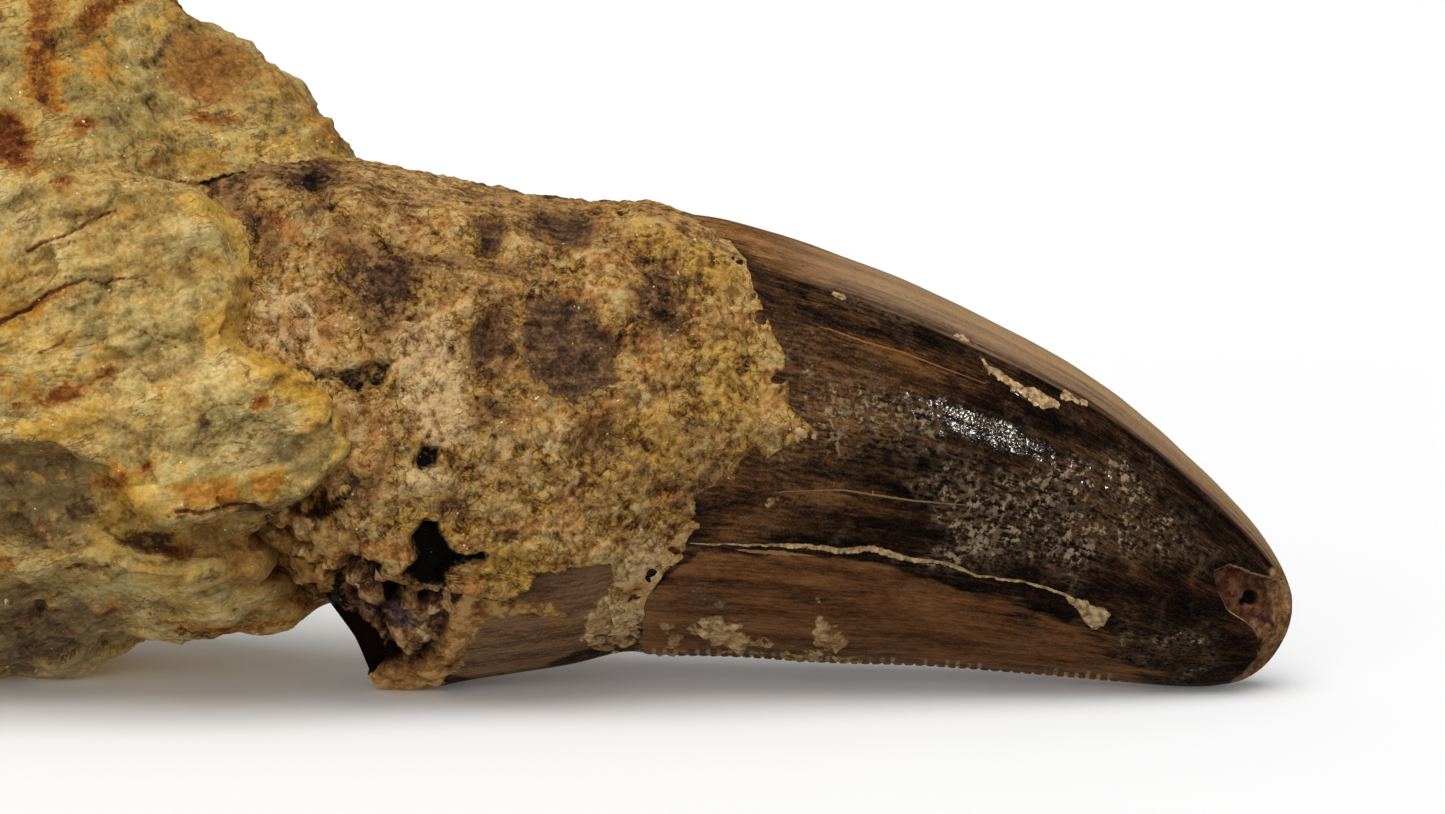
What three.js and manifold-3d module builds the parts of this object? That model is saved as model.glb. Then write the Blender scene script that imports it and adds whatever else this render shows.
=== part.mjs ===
// A theropod dinosaur's fossil tooth. It lies on its side, its broken root end still set
// in a lump of sandstone matrix, with a thin crust of the same sand cemented round the
// base of its crown.
//
// Millimetres, +Z up. The origin is on the flat face that the lump rests on, under the
// tooth's mid-plane. +X runs along the tooth to its tip, and Y is across its thickness.
// The front, at -Y, is the side that was cleared of matrix.

import * as THREE from 'three';
import { mergeVertices } from 'three/addons/utils/BufferGeometryUtils.js';
import Module from 'manifold-3d';

// ---- driving dimensions, mm ----

const CLEARANCE = 0.3; // left between two pieces that touch

// Stations along the tooth, from the buried root end to the tip. crest and keel are the
// upper and lower edges of the cross-section, as [x, z]; half is half its thickness.
const TOOTH_STATIONS = [
  { crest: [17.5, 27.2], keel: [20.0, 8.1], half: 6.3 },
  { crest: [21.4, 28.7], keel: [23.5, 5.8], half: 7.8 },
  { crest: [27.4, 28.7], keel: [26.6, 3.4], half: 8.9 },
  { crest: [30.4, 28.2], keel: [28.7, 0.3], half: 9.0 },
  { crest: [32.6, 27.8], keel: [30.9, 0.0], half: 8.9 },
  { crest: [35.8, 27.1], keel: [34.5, 0.6], half: 8.7 },
  { crest: [40.2, 26.4], keel: [39.6, 1.4], half: 8.5 },
  { crest: [42.8, 26.4], keel: [42.6, 2.1], half: 8.4 },
  { crest: [44.6, 26.5], keel: [44.6, 2.0], half: 8.3 },
  { crest: [48.2, 26.1], keel: [48.8, 1.9], half: 8.0 },
  { crest: [52.2, 24.9], keel: [53.4, 1.6], half: 7.6 },
  { crest: [57.7, 22.9], keel: [59.2, 1.4], half: 6.9 },
  { crest: [63.2, 20.3], keel: [64.5, 1.0], half: 6.1 },
  { crest: [68.2, 17.4], keel: [68.9, 0.6], half: 5.2 },
  { crest: [72.3, 14.2], keel: [72.5, 0.2], half: 4.3 },
  { crest: [75.7, 11.0], keel: [75.3, 0.2], half: 3.4 },
  { crest: [77.7, 8.8], keel: [77.0, 0.6], half: 2.6 },
  { crest: [78.9, 6.9], keel: [78.2, 1.5], half: 1.8 },
  { crest: [79.4, 5.5], keel: [79.1, 2.9], half: 1.0 },
  { crest: [79.5, 4.3], keel: [79.5, 4.2], half: 0.0 },
];
const CREST_ROUNDNESS = 0.9; // power of the sine that gives the width: the crest is blunt
const KEEL_ROUNDNESS = 1.5; // and the keel is pinched to an edge
const TOOTH_RING_PITCH = 1.7;
const TOOTH_SIDES = 24;

// The keel's saw edge.
const DENTICLE = {
  fromX: 43.6,
  toX: 71.2,
  pitch: 0.6,
  height: 0.22,
  footLength: 0.52,
  topLength: 0.3,
  footWidth: 0.9,
  topWidth: 0.3,
  sunk: 0.45,
};

// Where the root end has broken open: shallow hollows in the pulp's sandy filling, and a
// deep, ragged hole at the top of them. facing is the surface's slope, from -Y down.
const POCKET_HOLLOWS = [
  { centre: [29.0, -7.9, 7.2], radii: [2.0, 1.3, 2.6] },
  { centre: [31.5, -7.3, 5.2], radii: [2.7, 1.5, 3.0] },
  { centre: [30.1, -5.6, 3.4], radii: [1.7, 1.1, 1.9] },
];
const POCKET_FACING = 40;
const HOLE = {
  centre: [32.3, -12, 9.1],
  innerRadius: 0.65,
  outerRadius: 1.3,
  raggedness: [0.8, 1.15], // least and greatest share of the outer radius
  points: 5,
  depth: 7.2,
  turn: 0.3,
};
const HOLLOW_ROUGHNESS = { height: 0.14, bumpsPerRadius: 2.3 };

// The flake that is missing from the tip, and the pit in it.
const SPALL = { centre: [77.6, -3.75, 4.6], radii: [3.1, 1.5, 3.5], tilt: -12, facing: 33 };
const SPALL_PIT = { centre: [77.0, -2.9, 5.6], radii: [0.42, 0.9, 0.36] };

// The crust runs round the tooth from one angle to the other (0 is the crest, + is the
// front) and at each angle from one x to another. Its ends at the left are in the rock.
const CRUST_BORDERS = [
  { angle: 152, from: 41.3, to: 42.9 },
  { angle: 143, from: 40.8, to: 43.6 },
  { angle: 131, from: 41.3, to: 44.1 },
  { angle: 121, from: 40.6, to: 45.0 },
  { angle: 115, from: 34.2, to: 45.9 },
  { angle: 109, from: 26.4, to: 46.9 },
  { angle: 102, from: 25.6, to: 47.9 },
  { angle: 94, from: 26.2, to: 49.3 },
  { angle: 86, from: 26.4, to: 52.0 },
  { angle: 79, from: 25.4, to: 53.2 },
  { angle: 73, from: 23.2, to: 51.3 },
  { angle: 64, from: 22.4, to: 51.5 },
  { angle: 54, from: 22.2, to: 50.5 },
  { angle: 43, from: 21.2, to: 50.0 },
  { angle: 30, from: 20.2, to: 49.3 },
  { angle: 15, from: 19.6, to: 47.6 },
  { angle: 0, from: 19.4, to: 45.9 },
  { angle: -15, from: 20.4, to: 46.8 },
  { angle: -30, from: 22.4, to: 48.6 },
  { angle: -45, from: 24.4, to: 47.2 },
  { angle: -60, from: 25.4, to: 49.8 },
  { angle: -75, from: 25.6, to: 51.0 },
  { angle: -90, from: 25.6, to: 48.2 },
  { angle: -105, from: 25.2, to: 45.4 },
  { angle: -120, from: 25.0, to: 43.4 },
  { angle: -134, from: 24.8, to: 39.2 },
];
const CRUST_COLUMNS = 14;
const SOCKET_TURN = 2; // degrees round the tooth that clear the crust's upper and lower edges
const CRUST_THICKNESS = { crest: 0.45, side: 0.9, border: 0.4, borderRun: 1.4 };
const CRUST_SIDE_FROM = 0.15; // the sine of the angle where the crest's thickness ends
const CRUST_SIDE_TO = 0.7; // and where the side's is reached
const CRUST_LUMPS = { height: 0.3, length: 2.6, perRadian: 3.4 };

// The rock: its outline seen from the front, as [x, z]. What is below z = 0 is cut off
// flat, and that is the face it rests on.
const ROCK_OUTLINE = [
  [26.8, 4.9], [23.8, 3.8], [18.5, 2.8], [15.7, 2.3], [12.6, 1.0], [11.0, -0.1],
  [7.2, -0.3], [3.8, -1.4], [-4.2, -2.3], [-10.9, -2.1], [-14.8, 1.5], [-16.5, 7.7],
  [-16.9, 14.5], [-15.5, 21.3], [-13.1, 27.4], [-8.7, 33.5], [-3.6, 39.1], [2.0, 42.3],
  [8.1, 43.2], [13.1, 41.3], [17.1, 37.7], [20.4, 35.7], [23.2, 34.3], [24.7, 33.4],
  [26.0, 31.6], [27.1, 30.3], [27.7, 28.9], [29.2, 24.1], [32.4, 20.0], [34.6, 15.4],
  [32.2, 10.6], [28.0, 6.8],
];
const ROCK_CENTRE = { x: 6.5, z: 19 };
const ROCK_RIM_Y = 4.5; // where the front and the back meet
const ROCK_SQUARENESS = { front: 5, back: 3.4 }; // 2 gives an ellipse, more a fuller edge
const ROCK_DETAIL = 10;
const ROCK_FOCUS = [0.22, -0.42, -0.06]; // draws the mesh's points to where the detail is

// Lines across the rock's front, as [x, z]: the step under its upper facet, the lip
// under its bulge, and the shelf near its foot.
const LEDGE_LINE = [[-17, 30.6], [-0.3, 29.1], [10.1, 28.6], [22.2, 28.1], [29, 28.3]];
const LIP_LINE = [
  [-17, 16.6], [2.1, 15.2], [13.2, 14.7], [15.8, 13.7], [17.1, 11.8], [19.4, 10.9],
  [22.6, 11.2], [25.7, 11.8], [29, 13.7],
];
const SHELF_LINE = [[-17, 8.4], [9.7, 9.3], [16.6, 8.9], [29, 7.6]];
// The bulge's right-hand edge, as [z, x].
const BULGE_EDGE = [
  [0, 24.6], [11.2, 26.2], [12.3, 28.4], [14.7, 30.4], [16.8, 30.0], [18.4, 28.6],
  [19.6, 25.3], [20.5, 24.0], [23.7, 24.2], [25.8, 23.4], [28.1, 21.8], [30, 21.4],
];
// How far back the front's foot is undercut where it meets the resting face, by x.
const FOOT_LINE = [[-17, -2], [-4, -4.6], [3, -4.2], [8.5, 2.6], [14, 4]];
const FRONT_Y = { ledge: -9.6, bulge: -12.1, underLip: -7.6, shelf: -9.3, socket: 2.5 };
const UPPER_FACET = { setBack: 1.2, lean: 0.8, turn: 0.6, turnFromX: 15 };
// How far each step of the front is spread, from one side of its line to the other.
const LEDGE_SPREAD = { from: -0.3, to: 0.7 };
const LIP_SPREAD = { from: -0.8, to: 0.6 };
const SHELF_SPREAD = { from: -0.6, to: 1.2 };
const BULGE_EDGE_SPREAD = { from: -0.9, to: 1.3 };
const BULGE_OVER_LIP = 3; // the bulge is fullest up to this far above the lip
const UNDERCUT = { belowShelf: 0.4, power: 1.3 };
const BACK_Y = {
  middle: 17.5,
  topLean: 0.35,
  topFromZ: 27,
  sideLean: 0.35,
  leftFromX: -6,
  rightFromX: 16,
  footLean: 0.4,
  footToZ: 8,
};

// Fracture planes that knock the rock's corners off: an outward direction and how far
// out from the rock's middle the plane lies.
const CHIPS = [
  { direction: [-0.75, -0.45, 0.48], distance: 19.6 },
  { direction: [-0.62, -0.7, -0.35], distance: 18.2 },
  { direction: [-0.5, 0.62, 0.6], distance: 16.8 },
  { direction: [0.35, 0.75, 0.55], distance: 15.8 },
  { direction: [0.72, 0.68, -0.1], distance: 18.0 },
  { direction: [0.45, 0.6, -0.66], distance: 19.0 },
  { direction: [-0.86, 0.5, 0.05], distance: 18.6 },
  { direction: [-0.2, 0.75, -0.6], distance: 15.6 },
  { direction: [0.06, 1, 0.1], distance: 12.2 },
];
const ROCK_LUMPS = [
  { size: 6.5, height: 0.8 },
  { size: 2.9, height: 0.45 },
];
const BACK_LUMPINESS = 1.9; // the lumps' height on the back, to 1 on the front

// The repeatable noise, and how finely a place along the tooth is found.
const LATTICE_WAVES = [127.1, 311.7, 74.7];
const LATTICE_GAIN = 43758.5453;
const HALVINGS = 24;

// ---- small helpers ----

function mix(a, b, t) {
  return a + (b - a) * t;
}

// A line given by its corners, read at one place along its first number.
function readLine(corners, place) {
  if (place <= corners[0][0]) return corners[0][1];
  for (let i = 1; i < corners.length; i++) {
    const [start, startValue] = corners[i - 1];
    const [end, endValue] = corners[i];
    if (place <= end) return mix(startValue, endValue, (place - start) / (end - start));
  }
  return corners[corners.length - 1][1];
}

// A repeatable number from 0 to 1 for each corner of a unit lattice.
function latticeValue(i, j, k) {
  const [iWave, jWave, kWave] = LATTICE_WAVES;
  const wave = Math.sin(i * iWave + j * jWave + k * kWave) * LATTICE_GAIN;
  return wave - Math.floor(wave);
}

// Smooth bumps from -1 to 1 about one unit across.
function bumps(x, y, z) {
  const corner = [Math.floor(x), Math.floor(y), Math.floor(z)];
  const blend = [x, y, z].map((value, axis) => THREE.MathUtils.smoothstep(value - corner[axis], 0, 1));
  let total = 0;
  for (let n = 0; n < 8; n++) {
    const step = [n & 1, (n >> 1) & 1, n >> 2];
    const share = step.reduce((product, s, axis) => product * (s ? blend[axis] : 1 - blend[axis]), 1);
    total += share * latticeValue(corner[0] + step[0], corner[1] + step[1], corner[2] + step[2]);
  }
  return total * 2 - 1;
}

function meshGeometry(points, triangles) {
  const geometry = new THREE.BufferGeometry();
  geometry.setAttribute('position', new THREE.Float32BufferAttribute(points.flat(), 3));
  geometry.setIndex(triangles.flat());
  return geometry;
}

// Only positions, with shared vertices merged, as a boolean needs.
function welded(geometry) {
  const copy = geometry.clone();
  copy.deleteAttribute('normal');
  copy.deleteAttribute('uv');
  return mergeVertices(copy);
}

const wasm = await Module();
wasm.setup();

function toSolid(geometry) {
  const merged = welded(geometry);
  const vertProperties = new Float32Array(merged.attributes.position.array);
  const triVerts = new Uint32Array(merged.index.array);
  return new wasm.Manifold(new wasm.Mesh({ numProp: 3, vertProperties, triVerts }));
}

function toGeometry(solid) {
  const { vertProperties, triVerts } = solid.getMesh();
  const geometry = new THREE.BufferGeometry();
  geometry.setAttribute('position', new THREE.Float32BufferAttribute(vertProperties, 3));
  geometry.setIndex(Array.from(triVerts));
  geometry.computeVertexNormals();
  return geometry;
}

// Triangles between successive closed rings of points, with both ends closed onto a
// single point each: points holds the rings, then the first end's point and the last's.
function tubeTriangles(rings, sides) {
  const triangles = [];
  const startPoint = rings * sides;
  const endPoint = startPoint + 1;
  for (let side = 0; side < sides; side++) {
    const next = (side + 1) % sides;
    triangles.push([startPoint, next, side]);
    for (let ring = 0; ring < rings - 1; ring++) {
      const here = ring * sides;
      const there = here + sides;
      triangles.push([here + side, here + next, there + side]);
      triangles.push([here + next, there + next, there + side]);
    }
    triangles.push([(rings - 1) * sides + side, (rings - 1) * sides + next, endPoint]);
  }
  return triangles;
}

// ---- the tooth's surface ----

const lastStation = TOOTH_STATIONS.length - 1;
const asPoint = ([x, z]) => new THREE.Vector3(x, 0, z);
const crestCurve = new THREE.CatmullRomCurve3(TOOTH_STATIONS.map(({ crest }) => asPoint(crest)));
const keelCurve = new THREE.CatmullRomCurve3(TOOTH_STATIONS.map(({ keel }) => asPoint(keel)));
const halfLine = TOOTH_STATIONS.map(({ half }, station) => [station, half]);

// The point of the tooth's surface at a station number, which may lie between two, and
// at an angle round the section, 0 at the crest and 180 degrees at the keel. The section
// is a lens: its height follows the cosine, and its width a power of the sine that
// grows from the blunt crest to the pinched keel. offset moves the surface outwards.
function toothPoint(station, angle, offset = 0) {
  const crest = crestCurve.getPoint(station / lastStation);
  const keel = keelCurve.getPoint(station / lastStation);
  const middle = crest.clone().add(keel).multiplyScalar(0.5);
  const halfHeight = crest.clone().sub(middle);
  halfHeight.setLength(halfHeight.length() + offset);
  const towardsKeel = (1 - Math.cos(angle)) / 2;
  const roundness = mix(CREST_ROUNDNESS, KEEL_ROUNDNESS, towardsKeel ** 2);
  const width = Math.abs(Math.sin(angle)) ** roundness * (readLine(halfLine, station) + offset);
  const point = middle.addScaledVector(halfHeight, Math.cos(angle));
  point.y = -Math.sign(Math.sin(angle)) * width;
  point.z = Math.max(point.z, offset > 0 ? -offset : 0);
  return point.toArray();
}

// Station numbers about one ring pitch apart, up to but not including the tip.
function ringStations() {
  const stations = [];
  for (let station = 0; station < lastStation; station++) {
    const start = crestCurve.getPoint(station / lastStation);
    const end = crestCurve.getPoint((station + 1) / lastStation);
    const rings = Math.ceil(start.distanceTo(end) / TOOTH_RING_PITCH);
    for (let ring = 0; ring < rings; ring++) stations.push(station + ring / rings);
  }
  return stations;
}

function toothBody(offset = 0) {
  const stations = ringStations();
  const points = [];
  for (const station of stations) {
    for (let side = 0; side < TOOTH_SIDES; side++) {
      const point = toothPoint(station, (side / TOOTH_SIDES) * 2 * Math.PI, offset);
      if (station === 0) point[0] -= offset;
      points.push(point);
    }
  }
  const { crest, keel } = TOOTH_STATIONS[0];
  points.push([(crest[0] + keel[0]) / 2 - offset, 0, (crest[1] + keel[1]) / 2]);
  const tip = TOOTH_STATIONS[lastStation].crest;
  points.push([tip[0] + offset, 0, tip[1]]);
  return toSolid(meshGeometry(points, tubeTriangles(stations.length, TOOTH_SIDES)));
}

// The station number at which the surface, at one angle, reaches a given x.
function stationAt(x, angle, offset) {
  let low = 0;
  let high = lastStation;
  for (let halving = 0; halving < HALVINGS; halving++) {
    const middle = (low + high) / 2;
    if (toothPoint(middle, angle, offset)[0] < x) low = middle;
    else high = middle;
  }
  return (low + high) / 2;
}

// ---- the tooth's details ----

// One denticle: a block that tapers from its foot, sunk in the keel, to its top.
function denticle(x) {
  const station = stationAt(x, Math.PI, 0);
  const [, , keelZ] = toothPoint(station, Math.PI);
  const { height, sunk, footLength, topLength, footWidth, topWidth } = DENTICLE;
  const block = new THREE.BoxGeometry(1, 1, height + sunk);
  const position = block.attributes.position;
  for (let i = 0; i < position.count; i++) {
    const atTop = position.getZ(i) < 0;
    position.setX(i, position.getX(i) * (atTop ? topLength : footLength));
    position.setY(i, position.getY(i) * (atTop ? topWidth : footWidth));
  }
  block.translate(x, 0, keelZ + (sunk - height) / 2);
  return toSolid(block);
}

function denticles() {
  const count = Math.floor((DENTICLE.toX - DENTICLE.fromX) / DENTICLE.pitch);
  return Array.from({ length: count }, (_, i) => denticle(DENTICLE.fromX + i * DENTICLE.pitch));
}

// A rough ellipsoid, for cutting hollows.
function roughEllipsoid({ centre, radii }, detail, turn = {}) {
  const geometry = welded(new THREE.IcosahedronGeometry(1, detail));
  const position = geometry.attributes.position;
  const { height, bumpsPerRadius } = HOLLOW_ROUGHNESS;
  const point = new THREE.Vector3();
  for (let i = 0; i < position.count; i++) {
    point.fromBufferAttribute(position, i);
    const place = point.clone().multiplyScalar(bumpsPerRadius);
    point.multiplyScalar(1 + height * bumps(...place));
    position.setXYZ(i, point.x * radii[0], point.y * radii[1], point.z * radii[2]);
  }
  geometry.rotateX(THREE.MathUtils.degToRad(turn.x ?? 0));
  geometry.rotateY(THREE.MathUtils.degToRad(turn.y ?? 0));
  geometry.rotateZ(THREE.MathUtils.degToRad(turn.z ?? 0));
  geometry.translate(...centre);
  return toSolid(geometry);
}

// The ragged hole: a star drawn out along Y.
function raggedHole() {
  const { centre, innerRadius, outerRadius, raggedness, points, depth, turn } = HOLE;
  const outline = [];
  for (let i = 0; i < points * 2; i++) {
    const radius = i % 2 ? innerRadius : outerRadius * mix(...raggedness, latticeValue(i, 3, 5));
    const angle = (i / points) * Math.PI + turn;
    outline.push(new THREE.Vector2(Math.cos(angle) * radius, Math.sin(angle) * radius));
  }
  const star = new THREE.ExtrudeGeometry(new THREE.Shape(outline), { depth, bevelEnabled: false });
  star.rotateX(-Math.PI / 2);
  star.translate(...centre);
  return toSolid(star);
}

function toothGeometry() {
  const body = denticles().reduce((solid, block) => solid.add(block), toothBody());
  const hollows = [
    ...POCKET_HOLLOWS.map((hollow) => roughEllipsoid(hollow, 2, { x: POCKET_FACING })),
    raggedHole(),
    roughEllipsoid(SPALL, 2, { y: SPALL.tilt, z: SPALL.facing }),
    roughEllipsoid(SPALL_PIT, 1),
  ];
  return toGeometry(hollows.reduce((solid, hollow) => solid.subtract(hollow), body));
}

// ---- the crust ----

// How thick the crust is at a place: thin at its borders and along the crest, lumpy.
function crustThickness(x, angle, borders) {
  const { crest, side, border, borderRun } = CRUST_THICKNESS;
  const { height, length, perRadian } = CRUST_LUMPS;
  const sideways = Math.abs(Math.sin(angle));
  const full = mix(crest, side, THREE.MathUtils.smoothstep(sideways, CRUST_SIDE_FROM, CRUST_SIDE_TO));
  const fromBorder = Math.min(borders.to - x, borderRun) / borderRun;
  const lump = height * sideways * bumps(x / length, angle * perRadian, 7.5);
  return mix(border, full + lump, THREE.MathUtils.smoothstep(fromBorder, 0, 1));
}

// The crust as a strip round the tooth: each row crosses it from its left border to its
// right one on the outside and back on the inside. inner is the inside's height over the
// tooth, grow is added all round the outside, and turn, in degrees, moves it round the tooth.
function crustSolid(inner, grow = 0, turn = 0) {
  const across = CRUST_COLUMNS + 1;
  const points = CRUST_BORDERS.flatMap((borders) => {
    const angle = THREE.MathUtils.degToRad(borders.angle + turn);
    const outside = [];
    const inside = [];
    for (let column = 0; column < across; column++) {
      const x = mix(borders.from - grow, borders.to + grow, column / CRUST_COLUMNS);
      const station = stationAt(x, angle, inner);
      const height = CLEARANCE + crustThickness(x, angle, borders) + grow;
      outside.push(toothPoint(station, angle, height));
      inside.unshift(toothPoint(station, angle, inner));
    }
    return [...outside, ...inside];
  });
  return toSolid(meshGeometry(points, stripTriangles(CRUST_BORDERS.length, across)));
}

// Triangles of a strip whose rows each hold an outside run of points and the inside run
// back, with the first and last rows closed.
function stripTriangles(rows, across) {
  const triangles = [];
  const loop = across * 2;
  for (let row = 0; row < rows - 1; row++) {
    for (let i = 0; i < loop; i++) {
      const next = (i + 1) % loop;
      const here = row * loop;
      const there = here + loop;
      triangles.push([here + i, here + next, there + i]);
      triangles.push([here + next, there + next, there + i]);
    }
  }
  const lastRow = (rows - 1) * loop;
  for (let i = 0; i < across - 1; i++) {
    const back = loop - 1 - i;
    triangles.push([i, back, i + 1], [i + 1, back, back - 1]);
    triangles.push([lastRow + i, lastRow + i + 1, lastRow + back]);
    triangles.push([lastRow + i + 1, lastRow + back - 1, lastRow + back]);
  }
  return triangles;
}

// ---- the rock ----

// Distance from the rock's centre to its outline in a direction of the XZ plane.
function outlineRadius(angle) {
  const direction = new THREE.Vector2(Math.cos(angle), Math.sin(angle));
  for (let i = 0; i < ROCK_OUTLINE.length; i++) {
    const [x0, z0] = ROCK_OUTLINE[i];
    const [x1, z1] = ROCK_OUTLINE[(i + 1) % ROCK_OUTLINE.length];
    const start = new THREE.Vector2(x0 - ROCK_CENTRE.x, z0 - ROCK_CENTRE.z);
    const edge = new THREE.Vector2(x1 - x0, z1 - z0);
    const cross = direction.cross(edge);
    const along = start.cross(edge) / cross;
    const share = start.cross(direction) / cross;
    if (along > 0 && share >= 0 && share <= 1) return along;
  }
  throw new Error('the rock outline does not go round its centre');
}

// The rock's front, as a depth at [x, z]: an upper facet that leans back, a bulge, the
// hollow under the bulge's lip, a shelf, and a foot that undercuts to the resting face.
// Right of the bulge's edge it drops back behind the tooth.
function frontY(x, z) {
  const ledge = readLine(LEDGE_LINE, x);
  const lip = readLine(LIP_LINE, x);
  const shelf = readLine(SHELF_LINE, x);
  const { setBack, lean, turn, turnFromX } = UPPER_FACET;
  const upper = FRONT_Y.ledge + setBack + lean * Math.max(0, z - ledge) + turn * Math.max(0, x - turnFromX);
  const overLip = THREE.MathUtils.smoothstep(z, lip + BULGE_OVER_LIP, ledge);
  let depth = mix(FRONT_Y.bulge, FRONT_Y.ledge, overLip);
  depth = mix(FRONT_Y.underLip, depth, pastLine(z, lip, LIP_SPREAD));
  depth = mix(FRONT_Y.shelf, depth, pastLine(z, shelf, SHELF_SPREAD));
  const undercut = Math.max(0, 1 - z / (shelf - UNDERCUT.belowShelf)) ** UNDERCUT.power;
  depth = mix(depth, readLine(FOOT_LINE, x), undercut);
  depth = mix(depth, FRONT_Y.socket, pastLine(x, readLine(BULGE_EDGE, z), BULGE_EDGE_SPREAD));
  return mix(depth, upper, pastLine(z, ledge, LEDGE_SPREAD));
}

// How far a value has passed a line, from 0 to 1 over the line's spread.
function pastLine(value, line, { from, to }) {
  return THREE.MathUtils.smoothstep(value, line + from, line + to);
}

// The rock's back: flat in the middle, leaning in towards its top, its sides and its foot.
function backY(x, z) {
  const top = BACK_Y.topLean * Math.max(0, z - BACK_Y.topFromZ);
  const beyond = Math.max(0, x - BACK_Y.rightFromX) + Math.max(0, BACK_Y.leftFromX - x);
  const foot = BACK_Y.footLean * Math.max(0, BACK_Y.footToZ - z);
  return BACK_Y.middle - top - BACK_Y.sideLean * beyond - foot;
}

// Where a direction from the rock's middle meets its surface. Across the XZ plane it
// fills the outline; front to back it follows frontY and backY, with a superellipse
// easing both into the rim. Lumps and the fracture planes come on top.
function rockPoint(direction) {
  const flat = Math.hypot(direction.x, direction.z);
  const angle = Math.atan2(direction.z, direction.x);
  const rise = Math.atan2(Math.abs(direction.y), flat);
  const squareness = direction.y < 0 ? ROCK_SQUARENESS.front : ROCK_SQUARENESS.back;
  const outward = Math.cos(rise) ** (2 / squareness);
  const forward = Math.sin(rise) ** (2 / squareness);
  const radius = outlineRadius(angle) * outward;
  const x = ROCK_CENTRE.x + radius * Math.cos(angle);
  const z = ROCK_CENTRE.z + radius * Math.sin(angle);
  const sheet = direction.y < 0 ? frontY(x, z) : backY(x, z);
  const point = new THREE.Vector3(x, mix(ROCK_RIM_Y, sheet, forward), z);
  const lump = ROCK_LUMPS.reduce((sum, { size, height }) => (
    sum + height * bumps(point.x / size, point.y / size, point.z / size)), 0);
  const lumpiness = mix(1, BACK_LUMPINESS, THREE.MathUtils.smoothstep(direction.y, 0.1, 0.5));
  point.addScaledVector(direction, lump * lumpiness);
  const middle = new THREE.Vector3(ROCK_CENTRE.x, ROCK_RIM_Y, ROCK_CENTRE.z);
  for (const chip of CHIPS) {
    const normal = new THREE.Vector3(...chip.direction).normalize();
    const proud = point.clone().sub(middle).dot(normal) - chip.distance;
    if (proud > 0) point.addScaledVector(normal, -proud);
  }
  point.z = Math.max(point.z, 0);
  return point;
}

function rockGeometry() {
  const geometry = welded(new THREE.IcosahedronGeometry(1, ROCK_DETAIL));
  const position = geometry.attributes.position;
  const focus = new THREE.Vector3(...ROCK_FOCUS);
  for (let i = 0; i < position.count; i++) {
    const direction = new THREE.Vector3().fromBufferAttribute(position, i).add(focus).normalize();
    position.setXYZ(i, ...rockPoint(direction));
  }
  const room = [SOCKET_TURN, -SOCKET_TURN].map((turn) => crustSolid(-1, CLEARANCE, turn));
  const cuts = [toothBody(CLEARANCE), ...room];
  return toGeometry(cuts.reduce((solid, cut) => solid.subtract(cut), toSolid(geometry)));
}

// ---- the pieces ----

function piece(name, geometry, color, roughness) {
  const mesh = new THREE.Mesh(geometry, new THREE.MeshStandardMaterial({ color, roughness, metalness: 0 }));
  mesh.name = name;
  return mesh;
}

const fossil = new THREE.Group();
fossil.add(piece('tooth', toothGeometry(), '#3c2718', 0.35));
fossil.add(piece('crust', toGeometry(crustSolid(CLEARANCE).subtract(raggedHole())), '#9b7545', 0.9));
fossil.add(piece('rock', rockGeometry(), '#ac8750', 0.92));

export default fossil;
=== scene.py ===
"""A theropod's fossil tooth in a lump of sandstone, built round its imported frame.

Three surfaces are worked out with numpy from the same dimensions as the solids they
stand for: the tooth, the crust of sand cemented round its base, and the rock. Lengths
are millimetres until a mesh is written. +X runs along the tooth to its tip, +Y goes
away from the viewer and +Z is up. The rock rests on z = 0.
"""

import math

import bpy
import numpy as np
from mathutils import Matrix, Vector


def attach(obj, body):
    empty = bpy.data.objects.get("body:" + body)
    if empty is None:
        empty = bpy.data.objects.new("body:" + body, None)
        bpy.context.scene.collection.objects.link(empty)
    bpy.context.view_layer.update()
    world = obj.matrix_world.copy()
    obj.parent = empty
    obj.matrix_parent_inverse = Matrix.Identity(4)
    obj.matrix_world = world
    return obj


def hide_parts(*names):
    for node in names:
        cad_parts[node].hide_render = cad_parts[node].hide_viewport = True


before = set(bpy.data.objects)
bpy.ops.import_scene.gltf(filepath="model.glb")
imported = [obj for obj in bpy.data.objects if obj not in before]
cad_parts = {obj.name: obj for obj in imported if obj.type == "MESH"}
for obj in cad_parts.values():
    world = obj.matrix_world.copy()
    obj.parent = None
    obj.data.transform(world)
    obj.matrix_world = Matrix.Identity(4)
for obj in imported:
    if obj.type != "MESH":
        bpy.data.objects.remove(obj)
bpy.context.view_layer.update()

bl_info = {
    "name": "Fossil tooth in sandstone",
    "version": (1, 0, 0),
    "blender": (4, 5, 0),
    "location": "View3D > Sidebar > Fossil",
    "description": "Builds a dinosaur tooth whose root is still set in its matrix",
    "category": "Add Mesh",
}

MM = 0.001
FAR = 1e3  # further than anything here
TINY = 1e-9  # keeps a divisor off zero
BODY = "root"

# ------ the viewer

LENS_MM = 100.0
SENSOR_MM = 36.0
EYE = np.array([47.988, -219.118, 42.667])
EYE_TILT = math.radians(83)  # looks 7 degrees down
MIDDLE = (45, 0, 10)  # what the broad lights aim at
REFLECTED_SKY = 0.08  # the surround's strength in the enamel's polish

# ------ the tooth's dimensions

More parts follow.
